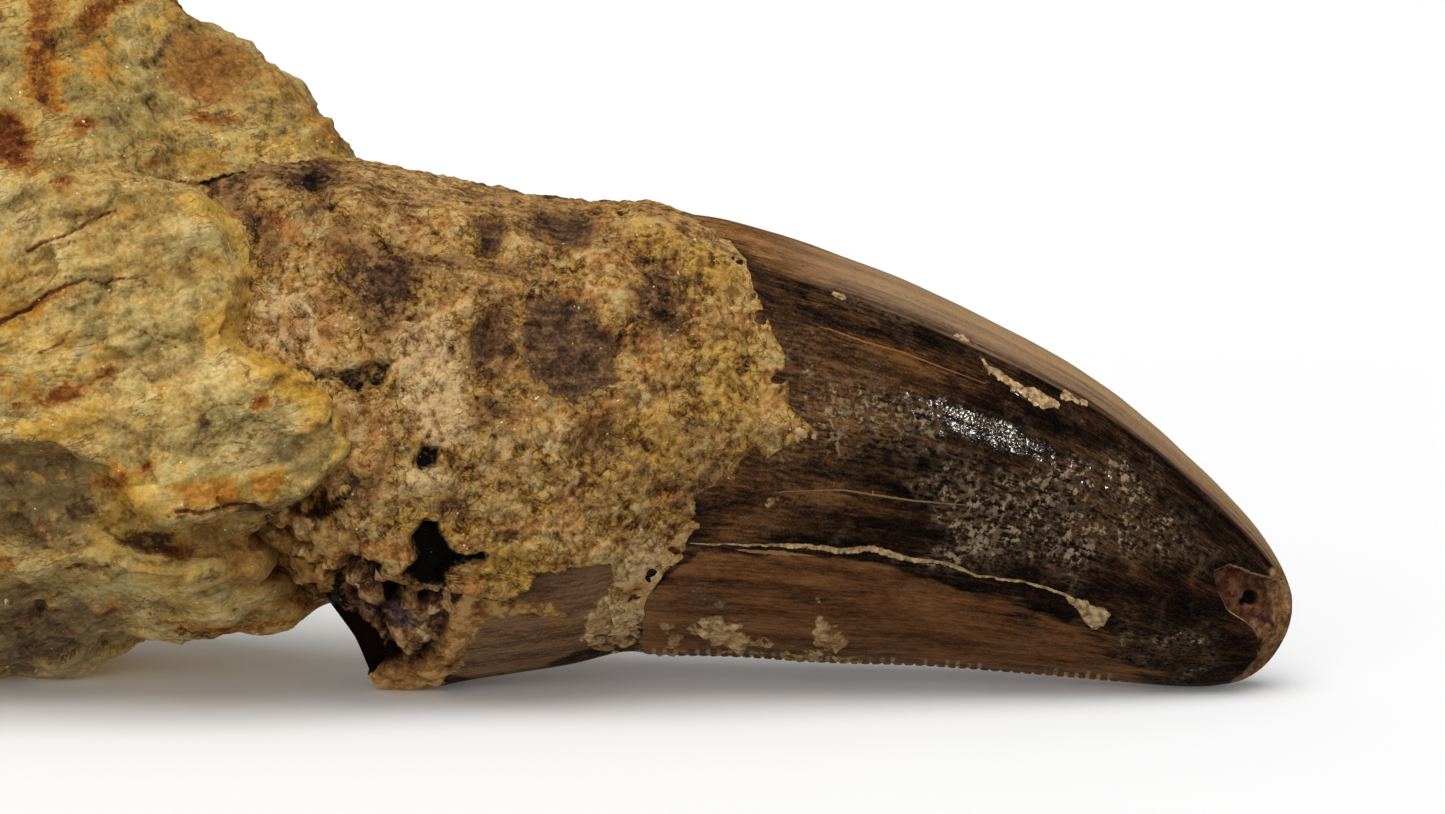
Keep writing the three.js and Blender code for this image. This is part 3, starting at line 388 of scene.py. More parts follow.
# Tooth.
LOWER_FACE = Marks(0.3, (0.1, 0.06), [
    Patch([43.4, 5.0, 46.7, 7.7, 52.3, 7.5, 56.7, 7.0, 62.0, 5.3, 66.1, 4.3, 68.8, 2.8, 71.0, 1.5,
           71.7, -0.6, 43.4, -0.6], 0.9),
])
ENAMEL_MARKS = {
    "warm": Marks(1.5, (1.2,), [
        Patch([46.2, 23.3, 52.2, 22.2, 57.7, 20.0, 63.2, 17.7, 64.3, 16.2, 59.4, 16.4, 57.8, 14.5,
               56.7, 12.3, 54.5, 10.6, 51.2, 8.1, 46.2, 7.2]),
        Patch([31.8, 8.4, 44.5, 8.4, 44.5, -0.1, 31.8, -0.1]),
        Patch([64.4, 13.4, 67.7, 12.8, 74.4, 7.2, 73.3, 5.0, 67.7, 9.5], 0.4),
    ]),
    "scuffed": Marks(0.9, (0.6,), [
        Patch([57.8, 11.7, 60.5, 13.1, 63.8, 12.8, 67.4, 13.1, 69.9, 12.8, 72.9, 10.6, 75.2, 7.5,
               73.3, 6.7, 70.0, 7.2, 67.8, 5.6, 63.9, 7.2, 60.0, 7.2, 59.2, 9.5], 0.8),
        Patch([60.0, 9.5, 63.3, 9.8, 65.8, 8.6, 65.5, 6.8, 62.5, 6.6, 59.7, 7.2], 0.95),
        Patch([51.2, 15.0, 52.2, 17.0, 56.1, 17.5, 59.7, 16.2, 60.2, 14.5, 58.3, 12.5, 55.0, 13.1], 0.76),
        Patch([59.4, 13.9, 63.8, 12.3, 68.8, 12.3, 71.6, 9.5, 63.3, 9.5, 59.4, 10.6], 0.62),
        Patch([68.9, 1.1, 70.0, 4.4, 74.4, 5.0, 75.8, 2.2, 73.4, -0.1], 0.5),
        Patch([46.2, 5.6, 48.4, 5.8, 48.7, 4.4, 46.7, 3.9], 0.6),
        Patch([50.3, 21.7, 51.7, 20.6, 55.0, 18.9, 55.5, 17.0, 53.4, 14.5, 51.7, 16.2], 0.5),
        Patch([50.0, 16.2, 53.9, 16.2, 55.0, 13.9, 53.9, 12.3, 50.1, 11.7], 0.62),
        Blob(56.6, 18.4, 0.88, 0.33, -10, 0.8),
        Stroke([55.0, 21.7, 56.9, 21.0, 58.0, 20.0], 0.66, 0.44, 0.66),
    ]),
    "base_enamel": Marks(0.3, (0.1, 0.06), [
        Patch([32.0, 0.6, 33.4, 1.7, 34.1, 3.8, 35.5, 4.6, 36.8, 6.1, 37.9, 7.5, 42.4, 7.8, 41.8, 2.8,
               37.9, 1.0, 34.5, 0.5], 0.5),
    ]),
    "tan_rim": Marks(0.25, (0.1, 0.06), [
        Patch([28.2, 1.0, 29.0, 1.4, 30.3, 1.3, 31.4, 1.4, 32.2, 2.9, 32.7, 4.3, 33.8, 5.5, 35.6, 6.8,
               37.2, 7.7, 38.0, 7.2, 36.9, 6.0, 35.7, 4.9, 36.8, 5.1, 38.6, 4.8, 39.4, 4.0, 38.9, 3.8,
               37.3, 4.3, 35.4, 4.1, 34.4, 3.4, 33.7, 1.6, 32.4, 0.3, 31.9, -0.4, 28.5, -0.4], 0.9),
        Stroke([38.1, 7.6, 39.8, 7.6, 41.9, 7.7], 0.33, 0.28, 0.8),
        Stroke([34.5, -0.1, 37.9, 0.6, 40.6, 1.4, 43.4, 1.7, 46.7, 1.5], 0.44, 0.33, 0.7),
    ]),
    "pulp": Marks(0.35, (0.1, 0.06), [
        Patch([26.4, 6.7, 27.5, 7.7, 29.2, 8.4, 30.9, 9.5, 32.9, 8.9, 33.6, 7.2, 33.0, 5.0, 32.7, 2.8,
               31.5, 1.0, 28.6, 1.0, 28.2, 2.3, 27.5, 3.6, 26.9, 5.0], 0.95),
    ]),
    # Near black: the broken root wall facing down, partly dark dentine and partly painted shade, and
    # painted shade under the rock's lip, in the deep holes and in the pulp's pits.
    "dentine_and_hollow_shade": Marks(0.16, (0.1, 0.06), [
        Patch([24.6, 5.0, 26.0, 4.7, 26.6, 4.9, 27.4, 4.1, 28.2, 3.1, 29.0, 2.1, 28.7, 1.2, 28.4, 0.5,
               27.3, -0.6, 25.1, 1.6], 0.98),
        # Painted shadow of the rock's lip on the root's coat.
        Patch([24.7, 10.1, 26.3, 11.0, 28.1, 12.0, 29.4, 12.4, 29.0, 11.4, 27.4, 10.2, 26.0, 9.4], 0.58),
        Blob(25.6, 5.8, 1.1, 0.39, -30, 0.55), Blob(23.0, 9.5, 0.88, 0.44, 0, 0.52),
        Patch([30.7, 7.2, 31.3, 7.8, 31.0, 8.4, 31.8, 8.5, 32.8, 7.7, 32.5, 6.9, 32.2, 6.3, 31.5, 6.5]),
        Stroke([32.2, 8.1, 32.2, 9.3], 0.77, 0.49, 0.9),
        Stroke([33.0, 7.9, 35.0, 7.8], 0.49, 0.28, 0.8),
        Patch([27.8, 7.1, 28.6, 7.6, 29.6, 7.4, 29.1, 6.7, 28.1, 6.6], 0.9),
        Patch([28.9, 5.6, 29.7, 6.0, 30.5, 5.6, 30.4, 4.7, 29.4, 4.4], 0.85),
        Patch([28.3, 1.9, 29.7, 2.2, 30.8, 1.6, 30.2, 1.0, 28.6, 1.1], 0.6),
        Patch([31.0, 5.0, 31.8, 5.2, 31.9, 4.3, 31.1, 4.2], 0.6),
    ]),
    "root_coat": Marks(0.3, (0.1, 0.06), [
        Patch([19.2, 13.9, 24.7, 12.8, 28.7, 12.3, 30.5, 10.6, 30.8, 9.0, 30.1, 7.9, 28.6, 7.5, 27.5, 7.2,
               26.7, 6.6, 26.3, 5.6, 25.8, 4.7, 24.6, 2.8, 19.0, 1.6]),
        Blob(27.5, 6.4, 0.77, 0.66, 0, 0.9),
    ]),
    "pulp_light": Marks(0.14, (0.1, 0.06), [
        Stroke([28.6, 6.1, 29.5, 6.7, 30.7, 7.3], 0.44, 0.39, 0.9),
        Blob(31.9, 4.2, 0.33, 0.28, 0, 0.9), Blob(30.2, 4.2, 0.28, 0.22, 0, 0.7),
        Blob(32.1, 5.7, 0.39, 0.49, 0, 0.8), Blob(29.9, 2.6, 0.82, 0.33, -15, 0.8),
        Blob(32.8, 4.7, 0.44, 0.55, 0, 0.66), Blob(32.4, 6.4, 0.33, 0.33, 0, 0.7),
        Blob(27.4, 5.8, 0.66, 0.44, 0, 0.5), Blob(25.2, 9.5, 0.66, 0.39, -10, 0.95),
        Blob(24.7, 8.1, 0.49, 0.33, 0, 0.7), Blob(27.4, 9.5, 0.44, 0.33, 0, 0.7),
        Blob(23.3, 7.2, 0.55, 0.33, 0, 0.6), Blob(26.3, 7.2, 0.44, 0.28, 20, 0.6),
        Blob(24.6, 4.7, 0.39, 0.28, 0, 0.7), Blob(31.5, 2.8, 0.49, 0.39, 0, 0.6),
    ]),
    "pulp_purple": Marks(0.2, (0.1, 0.06), [
        Blob(30.1, 3.6, 0.88, 0.49, -40, 0.9), Blob(27.9, 4.3, 0.49, 0.33, -50, 0.6),
        Blob(29.0, 3.0, 0.44, 0.28, 0, 0.6),
    ]),
    "sand": Marks(0.3, (0.28, 0.2), [
        Patch([45.9, 2.8, 46.2, 3.6, 47.0, 4.1, 47.6, 4.4, 48.3, 3.8, 49.3, 3.3, 50.7, 2.8, 50.3, 2.3,
               49.4, 2.5, 49.1, 1.9, 47.6, 2.3, 46.7, 3.3], 0.95),
        Blob(44.9, 3.6, 0.33, 0.49, -20, 0.95), Blob(45.3, 2.6, 0.66, 0.39, 15, 0.95),
        Patch([52.8, 2.2, 52.9, 3.4, 53.3, 4.3, 54.0, 3.8, 54.8, 3.1, 55.1, 2.5, 54.4, 2.1], 0.85),
        Stroke([44.2, 1.9, 46.7, 1.9, 49.0, 1.8, 50.7, 1.9], 0.49, 0.39, 0.8),
        Stroke([51.1, 2.2, 52.3, 1.9, 53.9, 1.9, 55.4, 1.6], 0.6, 0.49, 0.85),
        Blob(53.5, 5.1, 0.6, 0.22, 0, 0.8), Blob(54.5, 4.9, 0.44, 0.17, 0, 0.7),
        Blob(52.4, 6.6, 0.22, 0.11, 0, 0.7),
        Patch([39.8, 3.0, 40.3, 4.3, 41.4, 5.5, 42.4, 5.8, 43.6, 5.0, 43.4, 2.2, 41.2, 2.1], 0.72),
        Blob(39.0, 2.8, 0.55, 0.28, 0, 0.6), Blob(52.3, 14.2, 1.1, 0.49, 5, 0.8),
        Blob(51.3, 12.0, 0.28, 0.44, 0, 0.75), Blob(50.7, 10.4, 0.39, 0.71, 0, 0.62),
        Blob(50.4, 9.1, 0.39, 0.28, 0, 0.7),
    ]),
    # The flake missing from the tip, its pit and its ochre rim.
    "spall": Marks(0.16, (0.04,), [
        Patch([75.2, 6.6, 76.1, 7.0, 77.3, 6.5, 79.0, 6.1, 79.7, 5.0, 79.8, 2.8, 79.1, 1.2, 77.9, -0.1,
               77.0, 1.0, 77.7, 1.8, 77.7, 2.6, 77.6, 3.2, 77.0, 3.8, 76.0, 4.4, 75.5, 5.5]),
    ]),
    "spall_pit": Marks(0.14, (0.03,), [
        Blob(77.6, 5.1, 0.49, 0.44), Blob(77.1, 4.8, 0.28, 0.28, 0, 0.7),
    ]),
    "spall_ochre": Marks(0.2, (0.1, 0.06), [
        Stroke([77.9, 3.3, 78.8, 2.8, 78.3, 1.4, 76.7, 0.2], 0.99, 0.88, 0.95),
        Stroke([78.7, 6.5, 79.4, 4.3, 79.2, 2.5, 78.5, 1.4], 0.66, 0.88, 0.9),
    ]),
    "cream": Marks(0.12, (0.08, 0.12), [
        Patch([66.9, 5.3, 68.0, 5.0, 69.4, 4.3, 69.3, 3.7, 68.5, 3.2, 67.9, 4.0], 0.9),
        Patch([61.9, 18.6, 62.7, 18.1, 63.8, 17.3, 65.1, 16.7, 66.7, 16.0, 66.6, 15.7, 65.5, 15.7,
               64.1, 16.6, 62.7, 17.5], 0.9),
        Stroke([66.7, 16.5, 67.2, 16.2, 67.9, 15.9], 0.39, 0.28, 0.8),
        Stroke([60.8, 19.7, 61.4, 19.5, 62.0, 19.2], 0.28, 0.22, 0.8),
        Blob(54.3, 21.9, 0.44, 0.22, -20, 0.85), Blob(64.4, 8.8, 0.17, 0.17, 0, 0.95),
        Stroke([56.2, 11.5, 56.2, 10.6], 0.11, 0.11, 0.8),
    ]),
}

# Crust.
CRUST_MARKS = {
    "dark": Marks(1.0, (0.5,), [
        Patch([27.7, 23.8, 29.5, 24.4, 31.1, 23.8, 31.2, 21.7, 30.7, 19.7, 29.1, 19.4, 27.7, 20.6,
               27.2, 22.5], 0.85),
        # Painted shadow of the rock's lip on the crust.
        Patch([24.7, 10.1, 26.3, 11.0, 28.1, 12.0, 29.4, 12.4, 29.0, 11.4, 27.4, 10.2, 26.0, 9.4], 0.95),
        Blob(27.9, 24.1, 1.43, 0.71, -10, 0.7), Blob(25.1, 28.1, 2.31, 1.32, -10, 0.75),
        Blob(21.2, 27.7, 1.21, 0.88, -20, 0.85),
        Stroke([21.9, 26.6, 22.8, 25.4, 23.5, 23.8], 1.1, 0.66, 0.8),
        Blob(35.3, 24.3, 1.32, 1.21, 0, 0.7), Blob(39.4, 25.0, 2.64, 1.1, -4, 0.62),
        Stroke([31.5, 23.0, 33.6, 22.8, 35.5, 22.7, 37.5, 22.2], 0.49, 0.39, 0.85),
        Blob(35.4, 19.0, 1.43, 2.09, -10, 0.75), Blob(39.5, 18.6, 2.86, 2.75, 0, 0.55),
        Blob(35.4, 15.2, 1.76, 0.71, 0, 0.7), Blob(44.6, 21.4, 1.21, 1.76, -10, 0.8),
        Blob(48.5, 22.2, 0.71, 0.39, 0, 0.75), Blob(41.5, 14.1, 1.65, 1.1, 0, 0.6),
        Blob(47.7, 10.4, 1.87, 1.87, 0, 0.66), Blob(49.8, 12.0, 1.32, 1.43, 0, 0.6),
        Blob(46.2, 15.0, 1.21, 0.66, -20, 0.55), Blob(49.2, 19.5, 0.55, 0.77, 0, 0.5),
        Blob(43.4, 12.3, 0.99, 0.66, 0, 0.55), Blob(32.0, 26.5, 1.43, 0.44, -8, 0.6),
        Blob(34.5, 26.9, 1.87, 0.44, -8, 0.5), Blob(36.8, 12.3, 1.21, 0.77, 0, 0.5),
        Blob(33.2, 10.6, 1.21, 0.88, 0, 0.5), Blob(26.0, 26.1, 1.21, 0.77, 0, 0.6),
    ]),
    "glossy": Marks(0.3, (0.2,), [
        Blob(26.0, 27.8, 1.21, 0.71, -10, 0.85), Blob(29.5, 22.2, 0.99, 1.21, 0, 0.6),
    ]),
    # Near black: painted shade in the crust's holes and in the pocket over the pulp, which are shallower
    # than they look.
    "black": Marks(0.36, (0.26,), [
        Patch([26.9, 17.6, 28.2, 18.3, 30.1, 18.4, 29.5, 16.9, 27.8, 16.5, 27.1, 16.8], 0.6),
        # Painted shade in the gap under the rock's edge.
        Stroke([23.9, 19.4, 24.7, 18.3, 26.0, 17.6, 27.5, 17.5], 0.39, 0.71, 0.62),
        Patch([30.7, 13.0, 31.3, 13.9, 32.5, 13.7, 32.6, 12.7, 31.9, 12.1, 30.8, 12.4], 0.6),
        Patch([30.4, 6.9, 31.2, 7.7, 30.8, 8.5, 31.5, 9.6, 32.4, 9.5, 32.5, 8.6, 32.9, 7.9, 35.0, 8.1,
               35.0, 7.5, 33.0, 7.2, 32.7, 6.1, 31.5, 6.1]),
        Blob(28.6, 7.2, 0.88, 0.44, 10, 0.9),
    ]),
    # Worn flat, down to the bare brown root.
    "bare": Marks(0.5, (0.42,), [
        Patch([37.4, 20.5, 38.4, 21.0, 40.2, 21.1, 41.3, 20.5, 41.9, 19.9, 41.9, 17.0, 40.7, 16.4,
               39.1, 16.3, 38.0, 17.0, 37.3, 18.9], 0.9),
        Patch([37.5, 25.4, 38.3, 25.7, 40.2, 25.8, 41.4, 25.4, 41.3, 24.6, 39.6, 24.3, 37.9, 24.5], 0.8),
        Patch([34.4, 25.2, 35.4, 25.6, 36.5, 25.4, 36.4, 24.0, 35.3, 23.4, 34.2, 24.0], 0.66),
        Patch([34.2, 20.4, 35.3, 20.8, 36.1, 19.7, 35.8, 18.4, 34.7, 17.8, 34.0, 18.9], 0.66),
        Stroke([43.5, 22.2, 44.3, 21.9, 45.0, 20.2], 0.99, 1.1, 0.62),
    ]),
    # Where the crust has come away from the tooth.
    "lost": Marks(0.2, (0.14,), [
        Patch([46.7, 10.9, 47.4, 11.2, 48.4, 10.9, 48.5, 9.0, 47.1, 8.9, 46.6, 9.9]),
        Patch([32.3, -0.1, 33.0, 1.9, 34.0, 4.0, 35.5, 4.7, 36.8, 6.1, 38.0, 7.2, 39.9, 7.4, 41.9, 7.5,
               42.1, 6.4, 41.5, 5.0, 41.9, 3.6, 40.6, 1.4]),
    ]),
    "bony": Marks(0.8, (0.5,), [
        Patch([40.7, 27.7, 44.6, 26.9, 47.9, 26.0, 50.9, 23.8, 49.8, 23.0, 46.8, 24.6, 43.5, 25.8,
               40.7, 26.4]),
        Patch([26.6, 29.1, 31.5, 28.4, 36.9, 27.8, 42.4, 27.2, 41.3, 25.8, 36.9, 25.1, 32.0, 25.7,
               27.1, 26.3], 0.9),
        Patch([30.3, 23.6, 34.2, 23.8, 38.3, 22.9, 38.0, 21.5, 34.1, 21.7, 30.6, 22.1], 0.8),
    ]),
    "cream": Marks(0.8, (0.5,), [
        Patch([41.1, 2.8, 41.4, 5.0, 42.4, 6.7, 43.4, 8.4, 45.0, 8.1, 45.2, 6.4, 44.3, 4.4, 43.4, 2.5,
               42.3, 2.1], 0.8),
        Blob(31.8, 11.9, 0.88, 0.44, -10, 0.95),
        Patch([30.2, 21.4, 31.9, 20.7, 33.1, 18.9, 34.1, 16.2, 34.1, 13.9, 31.9, 13.4, 30.0, 15.0,
               30.2, 18.9], 0.62),
        Blob(24.8, 20.6, 1.87, 1.98, 0, 0.5),
    ]),
    "yellow": Marks(1.0, (0.5,), [
        Patch([43.5, 25.7, 46.2, 25.1, 48.8, 23.3, 49.5, 21.7, 47.6, 21.4, 45.7, 22.9, 42.4, 24.7], 0.62),
        Blob(36.8, 7.2, 2.2, 1.32, -20, 0.75), Blob(43.4, 13.9, 2.75, 2.2, 0, 0.5),
        Blob(48.4, 17.3, 2.2, 2.75, 0, 0.55), Blob(31.3, 9.5, 1.87, 0.99, -20, 0.55),
        Blob(22.2, 29.3, 1.98, 0.39, 4, 0.7),
    ]),
    "rust": Marks(0.8, (0.5,), [
        Blob(23.9, 25.0, 1.21, 0.82, -30, 0.75), Blob(39.1, 26.4, 2.42, 0.49, -4, 0.62),
        Blob(43.5, 19.2, 0.77, 0.6, 0, 0.75), Blob(24.4, 20.5, 0.66, 0.71, 0, 0.66),
        Blob(26.6, 20.3, 0.39, 1.43, 0, 0.6), Blob(46.2, 7.2, 1.1, 0.55, 0, 0.5),
        Blob(43.3, 5.6, 0.77, 0.6, 0, 0.8), Blob(34.0, 5.8, 1.1, 1.1, 0, 0.62),
        Blob(45.1, 11.2, 1.32, 1.32, 0, 0.5), Blob(40.7, 15.6, 1.43, 0.66, 0, 0.55),
        Blob(36.8, 15.0, 1.1, 0.77, 0, 0.5), Blob(29.1, 13.1, 0.88, 1.32, 0, 0.5),
    ]),
}

# Thin lines in the enamel, as x, z corners, with the line's half width at each corner.
MAIN_CRACK = [
    (46.19, 8.19, 0.02), (47.02, 8.14, 0.04), (50.67, 8.08, 0.07), (52.38, 8.03, 0.14),
    (53.48, 7.97, 0.13), (54.42, 7.75, 0.18), (55.58, 7.80, 0.15), (56.41, 7.86, 0.2),
    (57.41, 7.52, 0.16), (58.40, 7.24, 0.14), (59.95, 7.13, 0.09), (61.12, 6.74, 0.1),
    (62.06, 6.35, 0.07), (64.66, 6.01, 0.06), (66.93, 5.34, 0.09), (68.05, 4.78, 0.01),
]
SECOND_CRACK = [
    (48.68, 7.86, 0.02), (49.56, 7.75, 0.09), (51.16, 7.64, 0.12), (53.10, 7.47, 0.02),
]
ORANGE_CRACK = [
    (53.06, 20.24, 0.01), (53.89, 20.07, 0.04), (55.64, 19.41, 0.05), (58.01, 18.75, 0.04),
    (59.66, 18.09, 0.03), (62.41, 17.09, 0.01),
]
THIN_CRACK = [
    (50.61, 11.04, 0.01), (52.26, 11.10, 0.03), (54.63, 11.15, 0.05), (56.67, 10.82, 0.06),
    (58.61, 10.54, 0.05), (60.54, 10.37, 0.04), (61.92, 10.26, 0.01),
]

# ------ numbers

LATTICE_WAVES = (127.1, 311.7, 74.7)
LATTICE_GAIN = 43758.5453
OCTAVE_SHIFT = 17.3
# Turns each octave against the last, so that the lattice doesn't show.
OCTAVE_TURN = np.array([
    (0.00, 0.80, 0.60),
    (-0.80, 0.36, -0.48),
    (-0.60, -0.48, 0.64),
])
CHIP_SEEDS = 50  # the step from one of a chip's random numbers to the next
CHIP_TILT = 0.6
PEBBLE_STEEPNESS = 1.6
SPREAD_STEPS = 4000


def mix(a, b, share):
    return a + (b - a) * share


def smoothstep(value, low, high):
    share = np.clip((value - low) / (high - low), 0, 1)
    return share * share * (3 - 2 * share)


def read_line(corners, place):
    """A line given by its corners, read along its first number."""
    return np.interp(place, corners[:, 0], corners[:, 1])


def lattice_value(i, j, k):
    """A repeatable number from 0 to 1 for each corner of a unit lattice."""
    a, b, c = LATTICE_WAVES
    wave = np.sin(i * a + j * b + k * c) * LATTICE_GAIN
    return wave - np.floor(wave)


def bumps(points):
    """Smooth bumps from -1 to 1 about one unit across: the lattice's values, blended by smoothstep."""
    corner = np.floor(points)
    blend = smoothstep(points - corner, 0, 1)
    total = np.zeros(points.shape[:-1])
    for n in range(8):
        step = np.array([n & 1, (n >> 1) & 1, n >> 2])
        share = np.prod(np.where(step, blend, 1 - blend), axis=-1)
        total += share * lattice_value(*np.moveaxis(corner + step, -1, 0))
    return total * 2 - 1


def rough(points, size, octaves=3, gain=0.5):
    """Bumps of a size in mm plus finer ones, each octave half as wide and gain as high.

    A number added to the points picks another stretch of the same noise.
    """
    total = np.zeros(points.shape[:-1])
    place = points @ OCTAVE_TURN / size
    for octave in range(octaves):
        total += gain ** octave * bumps(place + OCTAVE_SHIFT * octave)
        place = place @ OCTAVE_TURN * 2
    return total


def drift(points, size, octaves=3, gain=0.5, stretches=(0, 31.7)):
    """Two unrelated stretches of noise, which move a mark's border along x and z."""
    return np.stack([rough(points + stretch, size, octaves, gain) for stretch in stretches], -1)


class Waves:
    """Noise relief: its height and size in mm, its octaves and each one's share of the last."""

    def __init__(self, height, size, octaves=3, gain=0.5):
        self.height = height
        self.size = size
        self.octaves = octaves
        self.gain = gain

    def at(self, points):
        return self.height * rough(points, self.size, self.octaves, self.gain)


def facets(points, size):
    """Flat chips: the nearest of one jittered seed per cell gives each point a tilted plane.

    The first result is the plane's height, from about -1 to 1. The second is how near the
    border between two chips is, 0 on it, and the third is the distance from the seed.
    """
    place = points @ OCTAVE_TURN / size
    corner = np.floor(place)
    nearest = np.full(place.shape[:-1], FAR)
    second = np.full(place.shape[:-1], FAR)
    value = np.zeros(place.shape[:-1])
    for n in range(27):
        cell = corner + np.array([n % 3 - 1, n // 3 % 3 - 1, n // 9 - 1])
        i, j, k = np.moveaxis(cell, -1, 0)
        random = [lattice_value(i, j, k + CHIP_SEEDS * s) for s in range(1, 8)]
        way = place - (cell + np.stack(random[0:3], -1))
        slope = np.stack(random[3:6], -1) * 2 - 1
        distance = np.linalg.norm(way, axis=-1)
        height = (way * slope).sum(-1) + (random[6] - 0.5) * CHIP_TILT
        closer = distance < nearest
        second = np.where(closer, nearest, np.minimum(second, distance))
        nearest = np.where(closer, distance, nearest)
        value = np.where(closer, height, value)
    return value, second - nearest, nearest


def pebbles(points, size):
    """Rounded grains packed together: a dome on each seed, 1 at its top and 0 between grains."""
    return np.clip(1 - facets(points, size)[2] ** 2 * PEBBLE_STEEPNESS, 0, 1)


def front_view(points):
    """Where each point shows on the plane Y = 0, as x, z: its line of sight from the eye, cut there."""
    share = EYE[1] / (EYE[1] - points[..., 1])
    seen = EYE + (points - EYE) * share[..., None]
    return seen[..., [0, 2]]


def surface_normals(grid, closed=True):
    """Unit normals of a grid of points, from the differences along its rows and round its rings."""
    along = np.gradient(grid, axis=0)
    if closed:
        around = (np.roll(grid, -1, axis=1) - np.roll(grid, 1, axis=1)) / 2
    else:
        around = np.gradient(grid, axis=1)
    normal = np.cross(along, around)
    return normal / np.maximum(np.linalg.norm(normal, axis=-1, keepdims=True), TINY)


def spread(density, low, high, count):
    """Count places from low to high, set closer together where density is greater."""
    fine = np.linspace(low, high, SPREAD_STEPS)
    run = np.concatenate([[0], np.cumsum(density((fine[1:] + fine[:-1]) / 2))])
    return np.interp(np.linspace(0, run[-1], count), run, fine)


# ------ meshes


def shell(name, rings, first_pole, last_pole, masks):
    """A closed mesh: each ring joins the next, and the end rings close onto their poles.

    Rings is an array of rings, sides and xyz in mm, and masks holds a value or a vector
    for each of its points.
    """
    count, sides = rings.shape[:2]
    points = np.concatenate([rings.reshape(-1, 3), [first_pole], [last_pole]])
    side = np.arange(sides)
    following = (side + 1) % sides
    base = (np.arange(count - 1) * sides)[:, None]
    quads = np.stack([base + side, base + sides + side, base + sides + following, base + following], -1)
    last = (count - 1) * sides
    first_cap = np.stack([side, following, np.full(sides, count * sides)], -1)
    last_cap = np.stack([last + following, last + side, np.full(sides, count * sides + 1)], -1)
    corners = np.concatenate([quads.reshape(-1), first_cap.reshape(-1), last_cap.reshape(-1)])
    sizes = np.concatenate([np.full(quads.size // 4, 4), np.full(2 * sides, 3)])
    starts = np.concatenate([[0], np.cumsum(sizes)[:-1]])

    mesh = bpy.data.meshes.new(name)
    mesh.vertices.add(len(points))
    mesh.vertices.foreach_set("co", (points * MM).astype(np.float32).ravel())
    mesh.loops.add(len(corners))
    mesh.loops.foreach_set("vertex_index", corners.astype(np.int32))
    mesh.polygons.add(len(sizes))
    mesh.polygons.foreach_set("loop_start", starts.astype(np.int32))
    mesh.update(calc_edges=True)
    mesh.shade_smooth()
    for key, values in masks.items():
        vector = values.ndim == 3
        flat = values.reshape(-1, 3) if vector else values.reshape(-1)
        ends = np.stack([values[0].mean(0), values[-1].mean(0)])
        flat = np.concatenate([flat, ends]).astype(np.float32)
        attribute = mesh.attributes.new(key, "FLOAT_VECTOR" if vector else "FLOAT", "POINT")
        attribute.data.foreach_set("vector" if vector else "value", flat.ravel())
    piece = bpy.data.objects.new(name, mesh)
    bpy.context.collection.objects.link(piece)
    return piece


# ------ the tooth's surface

KNOT_GAP = 1e-4  # knots closer than this count as one place
TABLE_SIZE = 3000
HALVINGS = 24

TOOTH_COLUMNS = 480
TOOTH_SIDES = 206
TOOTH_END = len(TOOTH_STATIONS) - 1.02  # the last ring, just short of the tip's pole
# Rings for each mm of the crest: over the buried root, the crown, the saw edge and the tip.
ROOT_RINGS, CROWN_RINGS, SAW_RINGS, TIP_RINGS = 2.5, 6.5, 8.4, 9.0
ROOT_TO_X = 24
TIP_FROM_X = 76
FRONT_DENSITY = 1.6  # the sides are this much closer together on the front
MM_PER_DEGREE = 0.22  # about how far a degree reaches round the section

# The polished crest band, partly a painted sheen towards the tip: its half width in degrees, by the
# keel's x.
BAND_PLACES = (44, 50, 54, 63, 72, 76, 79)
BAND_DEGREES = (20, 30, 33, 35, 34, 37, 40)

# Heights and depths of the tooth's features, and its ridges' length and width, in mm.
RIDGE_SIZE = (7, 0.7, 1)
RIDGES = Waves(0.022, 1.0)
DENTS = Waves(0.07, 4.5, 2)
SCUFF_WAVES = Waves(0.05, 0.45, 2)
MAIN_CRACK_HEIGHT = 0.03
CREAM_HEIGHT = 0.09
RUBBLE_WAVES = Waves(0.3, 1.6, 2)
PULP_DEPTH = 0.7
TAN_SHARE = 0.45
COAT_HEIGHT = 0.35
HOLE_DEPTH = 2.2
HOLE_FROM_X = 29.6
PULP_LIGHT_HEIGHT = 0.4
SPALL_DEPTH = 0.55
PIT_DEPTH = 0.5
KEEL_RELIEF = 0.15  # the share of the relief that is left on the keel itself

CRACK_STEP = 0.1  # over which a crack's slope is measured
CRACK_END = 0.002  # its half width beyond its ends
CRACK_REACH = 9
OFF_KEEL = 9.0


def through(knots, station):
    """A centripetal Catmull-Rom curve through the knots, read at station numbers."""
    padded = np.vstack([2 * knots[0] - knots[1], knots, 2 * knots[-1] - knots[-2]])
    index = np.clip(np.floor(station).astype(int), 0, len(knots) - 2)
    share = (station - index)[..., None]
    a, b, c, d = (padded[index + step] for step in range(4))

    def root_distance(p, q):
        return np.sqrt(np.linalg.norm(q - p, axis=-1))[..., None]

    before, here, after = root_distance(a, b), root_distance(b, c), root_distance(c, d)
    here = np.where(here < KNOT_GAP, 1, here)
    before = np.where(before < KNOT_GAP, here, before)
    after = np.where(after < KNOT_GAP, here, after)
    leave = ((b - a) / before - (c - a) / (before + here) + (c - b) / here) * here
    arrive = ((c - b) / here - (d - b) / (here + after) + (d - c) / after) * here
    cubic = 2 * b - 2 * c + leave + arrive
    square = -3 * b + 3 * c - 2 * leave - arrive
    return b + leave * share + square * share ** 2 + cubic * share ** 3


STATION_TABLE = np.linspace(0, len(TOOTH_STATIONS) - 1, TABLE_SIZE)
CREST_TABLE = through(TOOTH_STATIONS[:, 0:2], STATION_TABLE)
KEEL_TABLE = through(TOOTH_STATIONS[:, 2:4], STATION_TABLE)


